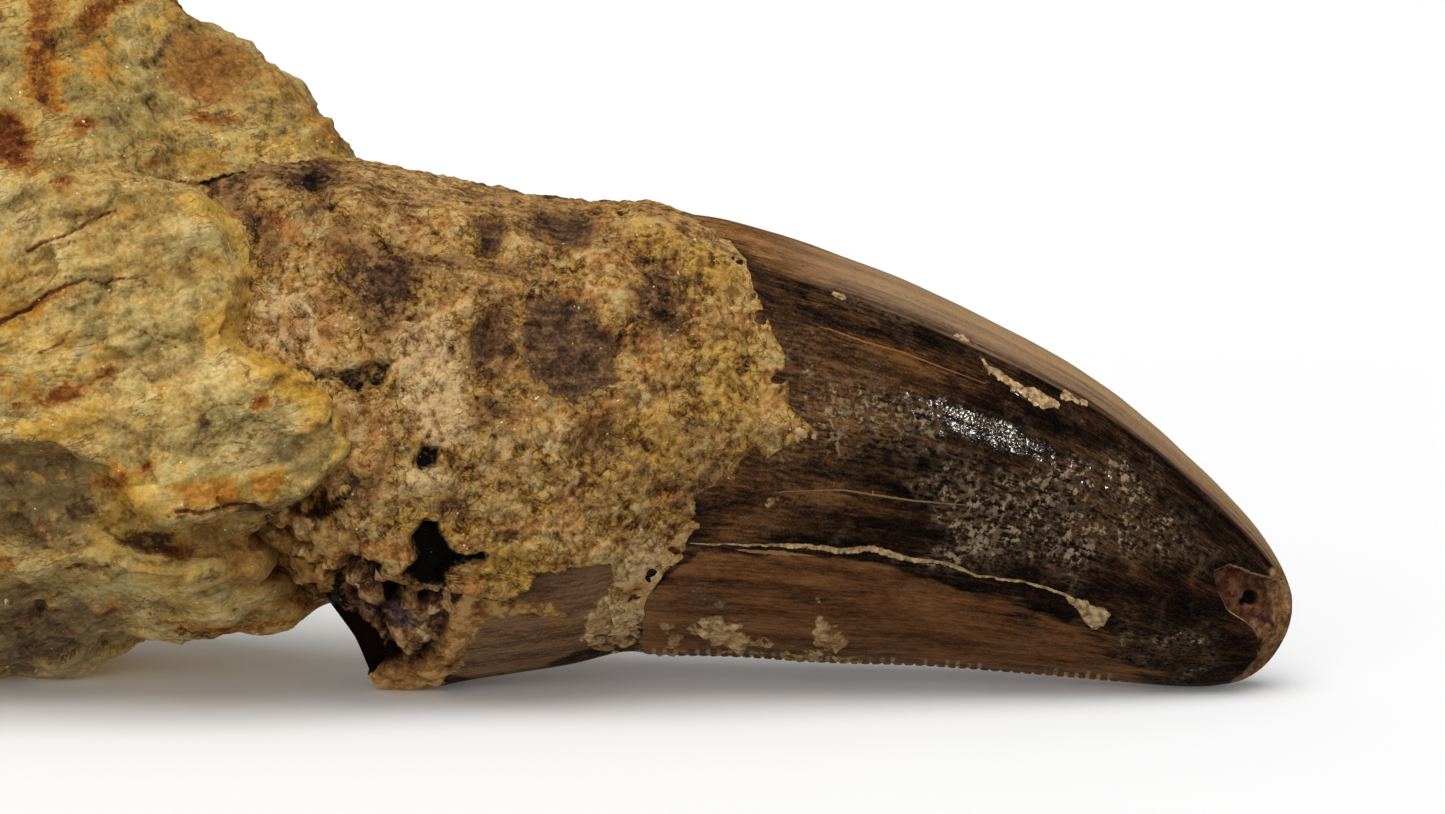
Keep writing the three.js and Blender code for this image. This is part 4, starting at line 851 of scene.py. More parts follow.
def crest_and_keel(station):
    """The x, z of the upper and lower edges at station numbers."""
    return [
        np.stack([np.interp(station, STATION_TABLE, column) for column in table.T], -1)
        for table in (CREST_TABLE, KEEL_TABLE)
    ]


def tooth_surface(station, angle, offset=0.0):
    """The tooth's surface, offset outwards: a lens-shaped section swept from root to tip.

    The section's height follows the angle's cosine from crest to keel. Its width is the
    half thickness times a power of the sine, which grows from the blunt crest to the
    pinched keel.
    """
    crest, keel = crest_and_keel(station)
    half = np.interp(station, np.arange(len(TOOTH_STATIONS)), TOOTH_STATIONS[:, 4])
    middle = (crest + keel) / 2
    rise = (crest - keel) / 2
    length = np.maximum(np.linalg.norm(rise, axis=-1), TINY)
    rise = rise * ((length + offset) / length)[..., None]
    sine = np.sin(angle)
    roundness = mix(CREST_ROUNDNESS, KEEL_ROUNDNESS, ((1 - np.cos(angle)) / 2) ** 2)
    width = np.abs(sine) ** roundness * (half + offset)
    flat = middle + rise * np.cos(angle)[..., None]
    z = np.maximum(flat[..., 1], 0)
    return np.stack([flat[..., 0], -np.sign(sine) * width, z], -1)


def by_halving(falls_short, shape):
    """The station numbers, in an array of a shape, up to which falls_short says yes."""
    low = np.zeros(shape)
    high = low + len(TOOTH_STATIONS) - 1
    for _ in range(HALVINGS):
        middle = (low + high) / 2
        short = falls_short(middle)
        low = np.where(short, middle, low)
        high = np.where(short, high, middle)
    return (low + high) / 2


def station_at(x, angle):
    """The station number at which the surface, at each angle, reaches each x."""
    return by_halving(
        lambda station: tooth_surface(station, angle)[..., 0] < x, np.broadcast(x, angle).shape)


def section_place(x, z):
    """The station number and the cosine of the angle that put the tooth's surface at each x, z."""
    def left_of_place(station):
        crest, keel = crest_and_keel(station)
        run = crest - keel
        return run[..., 0] * (z - keel[..., 1]) < run[..., 1] * (x - keel[..., 0])

    station = by_halving(left_of_place, x.shape)
    crest, keel = crest_and_keel(station)
    height = np.maximum((crest - keel)[..., 1], TINY)
    return station, (z - keel[..., 1]) / height * 2 - 1


def tooth_columns():
    """Station numbers of the tooth's rings, closest together along the saw edge and at the tip."""
    def density(station):
        step = 0.01
        here, keel = crest_and_keel(station)
        ahead = crest_and_keel(station + step)[0]
        length = np.linalg.norm(ahead - here, axis=-1) / step
        x = keel[..., 0]
        per_mm = np.where(x < ROOT_TO_X, ROOT_RINGS, CROWN_RINGS)
        per_mm = np.where((x > DENTICLES_FROM - 0.5) & (x < DENTICLES_TO + 0.5), SAW_RINGS, per_mm)
        return length * np.where(x > TIP_FROM_X, TIP_RINGS, per_mm)
    return spread(density, 0.0, TOOTH_END, TOOTH_COLUMNS)


def tooth_angles():
    """Angles round the section, closer together on the front."""
    def density(angle):
        return np.where(np.sin(angle) > 0, FRONT_DENSITY, 1.0)
    return spread(density, 0, 2 * math.pi, TOOTH_SIDES + 1)[:-1]


def denticle_profile(x, across):
    """The saw edge: rounded blocks one pitch apart, 1 at their tops, lower away from the keel.

    Each block's profile along x is a flat-topped arch, and across the keel it is a dome.
    """
    phase = ((x - DENTICLES_FROM) / DENTICLE_PITCH) % 1
    arch = smoothstep(0.5 - np.abs(phase - 0.5), 0.02, 0.2)
    dome = np.clip(1 - (across / DENTICLE_HALF_WIDTH) ** 2, 0, 1)
    present = smoothstep(x, DENTICLES_FROM - 0.4, DENTICLES_FROM + 0.4)
    return arch * dome * present * (1 - smoothstep(x, DENTICLES_TO - 2.5, DENTICLES_TO + 0.4))


def crack_field(view, corners):
    """A thin line's signed distance over its half width, so that it lies between -1 and 1.

    The distance is the height above the line through the corners, times the cosine of
    the line's slope.
    """
    corners = np.array(corners)
    x, z = view[..., 0], view[..., 1]
    line = read_line(corners, x)
    slope = (read_line(corners, x + CRACK_STEP) - line) / CRACK_STEP
    distance = (z - line) / np.hypot(1, slope)
    beyond = np.maximum(corners[0, 0] - x, x - corners[-1, 0])
    half = np.where(beyond > 0, CRACK_END, read_line(corners[:, [0, 2]], x))
    return np.clip(distance / half, -CRACK_REACH, CRACK_REACH)


def enamel_relief(grid, lie, masks, main_crack, settings):
    """The heights of the sound enamel's ridges and dents, and of what lies on it."""
    height = RIDGES.at(lie / RIDGE_SIZE + (0, 0, 3)) + DENTS.at(grid)
    height += masks["scuffed"] * SCUFF_WAVES.at(grid + 3.3)
    height += MAIN_CRACK_HEIGHT * masks["front"] * np.clip(1.3 - np.abs(main_crack), 0, 1)
    crumbs = 0.35 + 1.1 * pebbles(grid, 0.75)
    height += settings.sand_height / MM * smoothstep(masks["sand"], 0.35, 0.75) * crumbs
    height += CREAM_HEIGHT * smoothstep(masks["cream"], 0.4, 0.8) * (1 + 0.6 * rough(grid, 0.4, 2))
    # The second result paints shade between the sand's crumbs.
    return height, 0.3 * masks["sand"] * (crumbs - 1)


def root_relief(grid, view, masks):
    """The heights of the broken root end: rubble in a hollow, with holes that go deep."""
    rubble = RUBBLE_WAVES.at(grid) + 0.7 * pebbles(grid, 1.1) + 0.22 * pebbles(grid + 9, 0.55) - 0.4
    pulp, tan, coat = (smoothstep(masks[name], 0.3, 0.9) for name in ("pulp", "tan_rim", "root_coat"))
    height = pulp * (rubble - PULP_DEPTH) + tan * TAN_SHARE * rubble + coat * (rubble + COAT_HEIGHT)
    open_hole = masks["front"] * (view[..., 0] > HOLE_FROM_X)
    height -= HOLE_DEPTH * smoothstep(masks["dentine_and_hollow_shade"], 0.45, 0.9) * open_hole
    height += PULP_LIGHT_HEIGHT * smoothstep(masks["pulp_light"], 0.4, 0.8)
    # The second result, the rubble's relief, paints its hollows darker as shade.
    return height, np.maximum(np.maximum(pulp, tan), coat) * rubble


def tip_relief(grid, normal, masks):
    """The depth of the flake that is missing from the tip, and of the pit in it."""
    facing = smoothstep(-normal[..., 1], 0.15, 0.6)
    flake = facing * smoothstep(masks["spall"], 0.35, 0.75) * (1 + 0.25 * rough(grid, 0.8, 2))
    return -SPALL_DEPTH * flake - PIT_DEPTH * smoothstep(masks["spall_pit"], 0.3, 0.9)


def build_tooth(settings):
    """The tooth: its swept section, raised and sunk along its normals by each feature's height."""
    station, angle = np.meshgrid(tooth_columns(), tooth_angles(), indexing="ij")
    grid = tooth_surface(station, angle)
    normal = -surface_normals(grid)
    view = front_view(grid)
    front = smoothstep(np.sin(angle), 0.0, 0.12)
    crest, keel = crest_and_keel(station)
    steps = np.linalg.norm(np.diff(crest, axis=0, prepend=crest[:1]), axis=-1)
    along = np.cumsum(steps, axis=0)
    lie = np.stack([along, np.degrees(angle) * MM_PER_DEGREE, 0 * along], -1)

    drifts = drift(grid, 1.1), drift(grid, 0.5, stretches=(5.1, 47.1))
    masks = {name: marks.cover(view, drifts) * front for name, marks in ENAMEL_MARKS.items()}
    masks["sand"] = np.clip(masks["sand"] - 0.3 * (1 - pebbles(grid, 0.6)), 0, 1)
    masks["front"] = front
    main_crack = crack_field(view + 0.05 * drifts[1], MAIN_CRACK)
    enamel, sand_relief = enamel_relief(grid, lie, masks, main_crack, settings)
    root, rubble_relief = root_relief(grid, view, masks)
    height = enamel + root + tip_relief(grid, normal, masks)

    across = np.abs(grid[..., 1])
    at_keel = np.cos(angle) < 0
    saw = np.where(at_keel, denticle_profile(grid[..., 0], across), 0) * settings.denticle_height / MM
    off_keel = smoothstep(across, 0, 0.5) + (1 - at_keel)
    height = height * np.clip(off_keel, KEEL_RELIEF, 1) + saw
    grid = grid + normal * height[..., None]
    grid[..., 2] = np.maximum(grid[..., 2], 0)

    edge = np.linalg.norm(grid[..., [0, 2]] - keel, axis=-1)
    band = np.interp(keel[..., 0], BAND_PLACES, BAND_DEGREES)
    off_crest = np.degrees(np.minimum(angle, 2 * math.pi - angle))
    back = 1 - front
    # The lower face's border grows soft towards the tip.
    softer = 0.14 * np.clip(grid[..., 0] - 60, 0, 20)
    lower_face = LOWER_FACE.cover(view, drifts, softer) * front
    masks["lower_face"] = np.maximum(lower_face, smoothstep(off_crest, 100, 120) * back)
    worn_back = 0.5 * smoothstep(rough(grid, 7, 2), 0.0, 0.8)
    masks["scuffed"] = np.maximum(masks["scuffed"], back * worn_back)
    masks["lie"] = lie
    masks["crest"] = np.clip((band - off_crest) / band, -1, 1)
    # This relief tones the root end's colour as painted shade.
    masks["relief"] = rubble_relief + sand_relief
    masks["keel_edge"] = np.where(at_keel, edge, OFF_KEEL)
    thin_cracks = [crack_field(view, corners) for corners in (ORANGE_CRACK, THIN_CRACK)]
    masks["cracks"] = np.stack([main_crack, *thin_cracks], -1)
    masks["second_crack"] = crack_field(view, SECOND_CRACK)
    tip = TOOTH_STATIONS[-1]
    root_end = (TOOTH_STATIONS[0, 0:2] + TOOTH_STATIONS[0, 2:4]) / 2
    return shell("fossil_tooth", grid, (root_end[0], 0, root_end[1]), (tip[0], 0, tip[1]), masks)


# ------ the crust's surface

CRUST_ROWS = 430
CRUST_ACROSS = 218
CRUST_INSIDE = 6
CRUST_UNDERSIDE = -0.5
CRUST_FRONT_DENSITY = 1.5  # the rows are this much closer together on the front
TOOTH_AXIS_Z = 13  # inside the tooth at its base, to tell outwards from inwards
MM_PER_RADIAN = 12  # about how far a radian reaches round the tooth's base
TURN_SIZE = 0.25  # how many mm one degree counts as for the border's noise
BORDER_WAVES = Waves(0.4, 2.4)
LUMPS = Waves(0.26, 2.6, 3, 0.6)
SMALL_LUMPS = Waves(0.14, 1.1, 3, 0.6)
SPECKLE = Waves(0.09, 0.5, 2)

CREST_THICKNESS = 0.35
BORDER_THICKNESS = 0.1
FULL_THICKNESS = 0.85
LOW_EDGE_LOSS = 0.25
DARK_DEPTH = 0.22
GLOSSY_DEPTH = 0.15
BARE_DEPTH = 0.16
WORN_DEPTH = 1.0
LOST_DEPTH = 2.0
HOLE_FLOOR = 0.08  # a hole leaves this much crust over the enamel
DEEPEST = -0.35
END_DEPTH = -0.1  # the first and last rows dip this far under the enamel
TAPER_POWER = 0.7


def rising(value):
    """A rounded rise from a border, 0 there and 1 where the value is 1."""
    return smoothstep(value, -0.05, 1.0) ** TAPER_POWER


def crust_relief(base, side, masks, settings):
    """The heights of the crust's lumps, and of its grains, which are worn low on bare places."""
    lumps = side * LUMPS.at(base) + SMALL_LUMPS.at(base + 4)
    solid = 1 - 0.8 * masks["bare"]
    crumbly = mix(0.5, 1.0, smoothstep(base[..., 0] - 0.5 * (base[..., 2] - TOOTH_AXIS_Z), 34, 40))
    crumbly = crumbly * (1 - 0.5 * masks["dark"]) * (1 - 0.7 * masks["bony"]) * solid
    grains = pebbles(base, 0.62) + 0.8 * pebbles(base + 8, 0.38) - 0.7
    grains = crumbly * settings.grain_height / MM * grains + SPECKLE.at(base + 12) * solid
    return lumps, grains


def crust_thickness(base, turn, x, borders, side, lumps, grains, masks):
    """The crust's height over the enamel: thick by the rock, thin and worn through at its border."""
    to_start = x - borders[0]
    to_end = borders[1] - x
    away = mix(BORDER_THICKNESS, FULL_THICKNESS, smoothstep(to_end, 0.8, 8))
    full = CRUST_GAP + mix(CREST_THICKNESS, away, side)
    full = full - LOW_EDGE_LOSS * smoothstep(turn, 84, 100) * smoothstep(x, 42, 47)
    thick = full + lumps * mix(0.35, 1, smoothstep(to_end, 0.5, 5)) + grains
    thick = thick - DARK_DEPTH * smoothstep(masks["dark"], 0.3, 0.7) - GLOSSY_DEPTH * masks["glossy"]
    thick = thick - BARE_DEPTH * smoothstep(masks["bare"], 0.3, 0.8)
    thick = thick * rising(to_end / mix(3.5, 3.0, side))
    thick = thick * mix(1.0, rising(to_start / 1.6), smoothstep(turn, 98, 112))
    worn = smoothstep(rough(base + 60, 1.0), 0.2, 0.7) * (1 - smoothstep(to_end, 0.1, 1.3))
    thick = thick - WORN_DEPTH * worn
    hole = smoothstep(masks["black"], 0.35, 0.9)
    thick = mix(thick, np.minimum(thick, HOLE_FLOOR), hole)
    thick = np.maximum(thick - LOST_DEPTH * smoothstep(masks["lost"], 0.35, 0.7), DEEPEST)
    fade = smoothstep(turn, turn[0], turn[0] + 3) * (1 - smoothstep(turn, turn[-1] - 3, turn[-1]))
    return mix(END_DEPTH, thick, fade)


def carried_inside(values):
    """The outside's values with the last one of each row carried along the inside."""
    return np.concatenate([values, np.repeat(values[:, -1:], CRUST_INSIDE, axis=1)], axis=1)


def build_crust(settings):
    """The crust: rows round the tooth, each out along the crust and back under it.

    Its height over the tooth is a mean thickness, thin at the crest and the borders,
    plus lumps and grains. It dips under the enamel where the sand has worn through.
    """
    degrees, start, end = CRUST_BORDERS[::-1].T
    row = spread(lambda d: np.where(d > 0, CRUST_FRONT_DENSITY, 1.0), degrees[0], degrees[-1], CRUST_ROWS)
    ragged_end = BORDER_WAVES.at(np.stack([row * TURN_SIZE, 0 * row, 0 * row + 2], -1))
    turn = row[:, None]
    from_x = np.interp(turn, degrees, start)
    to_x = np.interp(turn, degrees, end) + ragged_end[:, None]
    share = spread(lambda s: 1 + 0.8 * smoothstep(s, 0.15, 0.5), 0, 1, CRUST_ACROSS)
    x = mix(from_x, to_x, share)
    angle = np.radians(np.broadcast_to(turn, x.shape))
    base = tooth_surface(station_at(x, angle), angle)
    normal = surface_normals(base, closed=False)
    outwards = (normal * (base - [0, 0, TOOTH_AXIS_Z])).sum(-1, keepdims=True)
    normal = normal * np.sign(outwards)
    view = front_view(base)
    front = smoothstep(np.sin(angle), -0.05, 0.1)
    side = smoothstep(np.abs(np.sin(angle)), 0.15, 0.7)

    drifts = [drift(base, 2.0, 4, 0.6)]
    masks = {name: marks.cover(view, drifts) * front for name, marks in CRUST_MARKS.items()}
    lumps, grains = crust_relief(base, side, masks, settings)
    thick = crust_thickness(base, turn, x, (from_x, to_x), side, lumps, grains, masks)
    outside = base + normal * thick[..., None]
    inside_share = np.linspace(1, 0, CRUST_INSIDE + 2)[1:-1]
    inside_x = mix(from_x, to_x, inside_share)
    inside_angle = np.broadcast_to(angle[:, :1], inside_x.shape)
    inside = tooth_surface(station_at(inside_x, inside_angle), inside_angle, CRUST_UNDERSIDE)
    rings = np.concatenate([outside, inside], axis=1)

    back = 1 - front
    del masks["lost"]
    masks["black"] = np.maximum(masks["black"], 0.66 * masks["glossy"])
    masks["dark"] += back * smoothstep(rough(base, 5), 0.25, 0.8)
    masks["yellow"] += back * 0.8 * smoothstep(rough(base + 70, 6), 0.1, 0.7)
    masks["lie"] = np.stack([base[..., 0], angle * MM_PER_RADIAN, 0 * angle], -1)
    # The relief tones the colour as painted shade: raised lumps lighter, hollows darker.
    masks["relief"] = 0.45 * lumps + 1.3 * grains
    masks = {name: carried_inside(values)[::-1] for name, values in masks.items()}
    first, last = rings[0].mean(axis=0), rings[-1].mean(axis=0)
    return shell("sand_crust", rings[::-1], last, first, masks)


# ------ the rock's surface

ROCK_RINGS_FRONT = 178
ROCK_RINGS_BACK = 76
ROCK_SIDES = 390
OUTSIDE_TOOTH = -99
SOCKET_FRONT_Y = -6.5  # in front of this the rock isn't pressed back onto the tooth

# The whole rock's lumps, as height and size, and how much higher they are on its back.
LUMPS_SIZES = ((0.8, 6.5), (0.45, 2.9))
BACK_LUMPINESS = 1.9
BED_SIZE = (3.6, 0.9, 2.4)  # a bed's ledges: their length, height and depth in mm
BED_WAVES = Waves(0.20, 1.0)
CHIP_HEIGHT = 0.34
CHIP_SIZE = 3.0
SMALL_CHIP_HEIGHT = 0.11
SMALL_CHIP_SIZE = 1.3
GRAIN_WAVES = Waves(0.10, 0.8)
CHIP_SEAM_DEPTH = 0.10
# The loose rubble at the foot is the last of the brown marks, with a softer border.
RUBBLE = Marks(1.0, (0.4,), ROCK_MARKS["brown"].shapes[3:])
LOOSE_WAVES = Waves(0.45, 1.5, 2)
DARK_SEAM_DEPTH = 0.35
PALE_HEIGHT = 0.25
THIN_SEAM_DEPTH = 0.18


def outline_radius(angle):
    """The distance from the rock's centre to its outline in each direction of the XZ plane."""
    centre = ROCK_CENTRE[[0, 2]]
    start = ROCK_OUTLINE - centre
    edge = np.roll(ROCK_OUTLINE, -1, axis=0) - ROCK_OUTLINE
    way = np.stack([np.cos(angle), np.sin(angle)], -1)[..., None, :]
    cross = way[..., 0] * edge[:, 1] - way[..., 1] * edge[:, 0]
    along = (start[:, 0] * edge[:, 1] - start[:, 1] * edge[:, 0]) / cross
    share = (start[:, 0] * way[..., 1] - start[:, 1] * way[..., 0]) / cross
    hit = (along > 0) & (share >= 0) & (share <= 1)
    return np.where(hit, along, 0).max(axis=-1)


def front_y(x, z):
    """The rock's front as a depth: facet, bulge, hollow under its lip, shelf and undercut foot.

    Each step is a smoothstep across its line, and right of the bulge's edge the front
    drops back behind the tooth.
    """
    ledge = read_line(LEDGE_LINE, x)
    lip = read_line(LIP_LINE, x)
    shelf = read_line(SHELF_LINE, x)
    upper = LEDGE_Y + 1.2 + 0.8 * np.maximum(0, z - ledge) + 0.6 * np.maximum(0, x - 15)
    depth = mix(BULGE_Y, LEDGE_Y, smoothstep(z, lip + 3, ledge))
    depth = mix(UNDER_LIP_Y, depth, smoothstep(z, lip - 0.8, lip + 0.6))
    depth = mix(SHELF_Y, depth, smoothstep(z, shelf - 0.6, shelf + 1.2))
    depth = mix(depth, read_line(FOOT_LINE, x), np.maximum(0, 1 - z / (shelf - 0.4)) ** 1.3)
    edge = read_line(BULGE_EDGE, z)
    depth = mix(depth, SOCKET_Y, smoothstep(x, edge - 2.0, edge + 1.2))
    return mix(depth, upper, smoothstep(z, ledge - 0.3, ledge + 0.7))


def back_y(x, z):
    """The rock's back: flat in the middle, leaning in towards its top, sides and foot."""
    top = 0.35 * np.maximum(0, z - 27)
    sides = 0.35 * (np.maximum(0, x - 16) + np.maximum(0, -6 - x))
    return BACK_Y - top - sides - 0.4 * np.maximum(0, 8 - z)


def rock_rings():
    """The rings' shares of the outline's radius, and which are on the front.

    They run from the front's middle to the rim, and on to the back's middle.
    """
    front = np.linspace(0, 1, ROCK_RINGS_FRONT + 1)[1:] ** 0.62
    front = 1 - (1 - front) ** 1.45
    back = 1 - (1 - np.linspace(1, 0, ROCK_RINGS_BACK + 2)[1:-1]) ** 1.6
    ring = np.concatenate([front, back])
    return ring, np.arange(len(ring)) < ROCK_RINGS_FRONT


def tooth_half(x, z):
    """Half the tooth's thickness at each x, z, or OUTSIDE_TOOTH beyond its outline."""
    station, cosine = section_place(x, z)
    half = -tooth_surface(station, np.arccos(np.clip(cosine, -1, 1)))[..., 1]
    inside = (np.abs(cosine) < 1) & (station > 0.01) & (station < len(TOOTH_STATIONS) - 1.2)
    return np.where(inside, half, OUTSIDE_TOOTH)


def rock_form(share, angle, on_front):
    """The rock's broad form: its two sheets eased together by a superellipse, lumpy and chipped.

    The second result is each point's outward direction before the chipping.
    """
    square = np.where(on_front, ROCK_SQUARENESS_FRONT, ROCK_SQUARENESS_BACK)
    forward = (1 - share ** square) ** (1 / square)
    radius = outline_radius(angle) * share
    x = ROCK_CENTRE[0] + radius * np.cos(angle)
    z = ROCK_CENTRE[2] + radius * np.sin(angle)
    y = mix(ROCK_CENTRE[1], np.where(on_front, front_y(x, z), back_y(x, z)), forward)
    grid = np.stack([x, y, z], -1)

    out = grid - ROCK_CENTRE
    out = out / np.linalg.norm(out, axis=-1, keepdims=True)
    lump = sum(height * bumps(grid / size) for height, size in LUMPS_SIZES)
    lump = lump * mix(1, BACK_LUMPINESS, smoothstep(out[..., 1], 0.1, 0.5))
    grid = grid + out * lump[..., None]
    for *direction, distance in CHIPS:
        plane = np.array(direction) / np.linalg.norm(direction)
        proud = np.maximum((grid - ROCK_CENTRE) @ plane - distance, 0)
        grid = grid - proud[..., None] * plane
    return grid, out


def rock_relief(grid, bed, on_front, rubble, masks, settings):
    """The heights of the rock's ledges, chips, loose rubble, seams and pale scars."""
    chip, border, _ = facets(grid, CHIP_SIZE)
    relief = BED_WAVES.at(bed) + CHIP_HEIGHT * chip
    relief = relief + SMALL_CHIP_HEIGHT * facets(grid + 40, SMALL_CHIP_SIZE)[0]
    relief = relief + GRAIN_WAVES.at(grid) - CHIP_SEAM_DEPTH * (1 - smoothstep(border, 0, 0.12))
    relief = relief + rubble * LOOSE_WAVES.at(grid)
    from_edge = np.abs(grid[..., 0] - read_line(BULGE_EDGE, grid[..., 2]) + 0.4)
    at_edge = 1 - smoothstep(from_edge, 0.8, 2.4)
    relief = relief * settings.relief * (1 - 0.6 * at_edge * on_front)
    relief = relief - DARK_SEAM_DEPTH * smoothstep(masks["dark"], 0.66, 0.95)
    relief = relief + PALE_HEIGHT * smoothstep(masks["pale"], 0.6, 0.95)
    return relief - THIN_SEAM_DEPTH * smoothstep(masks["seams"], 0.4, 0.9)


def build_rock(settings):
    """The rock: rings round the Y axis over its broad form, moved out by its relief.

    Its front is pressed onto the far side of the tooth, which makes the socket.
    """
    ring, ring_on_front = rock_rings()
    turn = spread(lambda a: 1 + 2.1 * np.cos(a / 2) ** 4, -math.pi, math.pi, ROCK_SIDES + 1)[:-1]
    share, angle = np.meshgrid(ring, turn, indexing="ij")
    on_front = np.broadcast_to(ring_on_front[:, None], share.shape)
    grid, out = rock_form(share, angle, on_front)
    normal = surface_normals(grid)
    normal = normal * np.sign((normal * out).sum(-1, keepdims=True))
    view = front_view(grid)
    seen = smoothstep(-normal[..., 1], -0.1, 0.25) * on_front
    drifts = [drift(grid, 2.2, 4, 0.6)]
    masks = {name: marks.cover(view, drifts) * seen for name, marks in ROCK_MARKS.items()}

    # Bedding runs up to the right, and breaks in ledges a millimetre or so high.
    rise, run = math.sin(BEDDING_TILT), math.cos(BEDDING_TILT)
    x, y, z = np.moveaxis(grid, -1, 0)
    bed = np.stack([x * run + z * rise, z * run - x * rise, y], -1) / BED_SIZE
    rubble = RUBBLE.cover(view, drifts) * seen
    relief = rock_relief(grid, bed, on_front, rubble, masks, settings)
    grid = grid + normal * relief[..., None]

    half = tooth_half(grid[..., 0], grid[..., 2])
    press = on_front & (grid[..., 1] > SOCKET_FRONT_Y) & (grid[..., 1] < half)
    grid[..., 1] = np.where(press, half, grid[..., 1])
    grid[..., 2] = np.maximum(grid[..., 2], 0)

    hidden = 1 - seen
    masks["rust"] += hidden * 0.9 * smoothstep(rough(bed, 1.6), 0.5, 1.0)
    masks["yellow"] += hidden * 0.8 * smoothstep(rough(grid + 9, 9), 0.2, 0.8)
    masks["green"] += hidden * 0.8 * smoothstep(rough(grid + 70, 10), 0.2, 0.8)
    masks["dark"] += hidden * 0.9 * smoothstep(rough(grid + 90, 3), 0.85, 1.2)
    # The relief also tones the colour: raised places lighter and recesses darker, partly dirt held in the
    # recesses and partly painted shade.
    masks["relief"] = relief
    masks["upper"] = smoothstep(view[..., 1], 28.0, 29.5)
    return shell("sandstone_matrix", grid, grid[0].mean(axis=0), grid[-1].mean(axis=0), masks)


# ------ materials

SRGB_KNEE = 0.04045
BREAKUP_SIZE = 0.5  # mm: noise of this size moves the borders between grains
BREAKUP_REACH = 0.3  # mm: and moves them this far
MIDDLE_VALUE = 0.5  # weigh, extent and most noise lie round this

# The values at which the tones of the rock and of the sand stand.
ROCK_STEPS = (0.16, 0.3, 0.41, 0.51, 0.62, 0.8)
ROCK_STAIN_STEPS = (0.16, 0.3, 0.44, 0.64)
SAND_STEPS = (0.18, 0.3, 0.4, 0.5, 0.6, 0.76)
SAND_STAIN_STEPS = (0.18, 0.31, 0.43, 0.62)

# Where a look changes along the tooth, in metres from and to.
ROOT_TO_SHINE = (0.026, 0.03)
BROWN_TO_GREY_CREST = (0.048, 0.058)
POLISHED_TO_WARM = (0.058, 0.054)

CRACK_BREAKUP = 2.4  # how far fine noise moves a filling's edge, in half widths of the crack
CRACK_FADE = 0.2 * MM
DIRT_FADE = 0.3


def linear(colour):
    """An sRGB hex colour as linear red, green, blue and alpha. A linear triple only gains its alpha."""
    if not isinstance(colour, str):
        return (*colour, 1.0)
    parts = [int(colour[i:i + 2], 16) / 255 for i in (1, 3, 5)]
    return tuple(p / 12.92 if p <= SRGB_KNEE else ((p + 0.055) / 1.055) ** 2.4 for p in parts) + (1.0,)


def add(tree, kind, inputs=None, **settings):
    """Adds one node: settings are its own, and inputs gives sockets a value or an output to link to."""
    node = tree.nodes.new("ShaderNode" + kind)
    for key, value in settings.items():
        setattr(node, key, value)
    for key, value in (inputs or {}).items():
        if isinstance(value, bpy.types.NodeSocket):
            tree.links.new(value, node.inputs[key])
        else:
            node.inputs[key].default_value = value
    return node


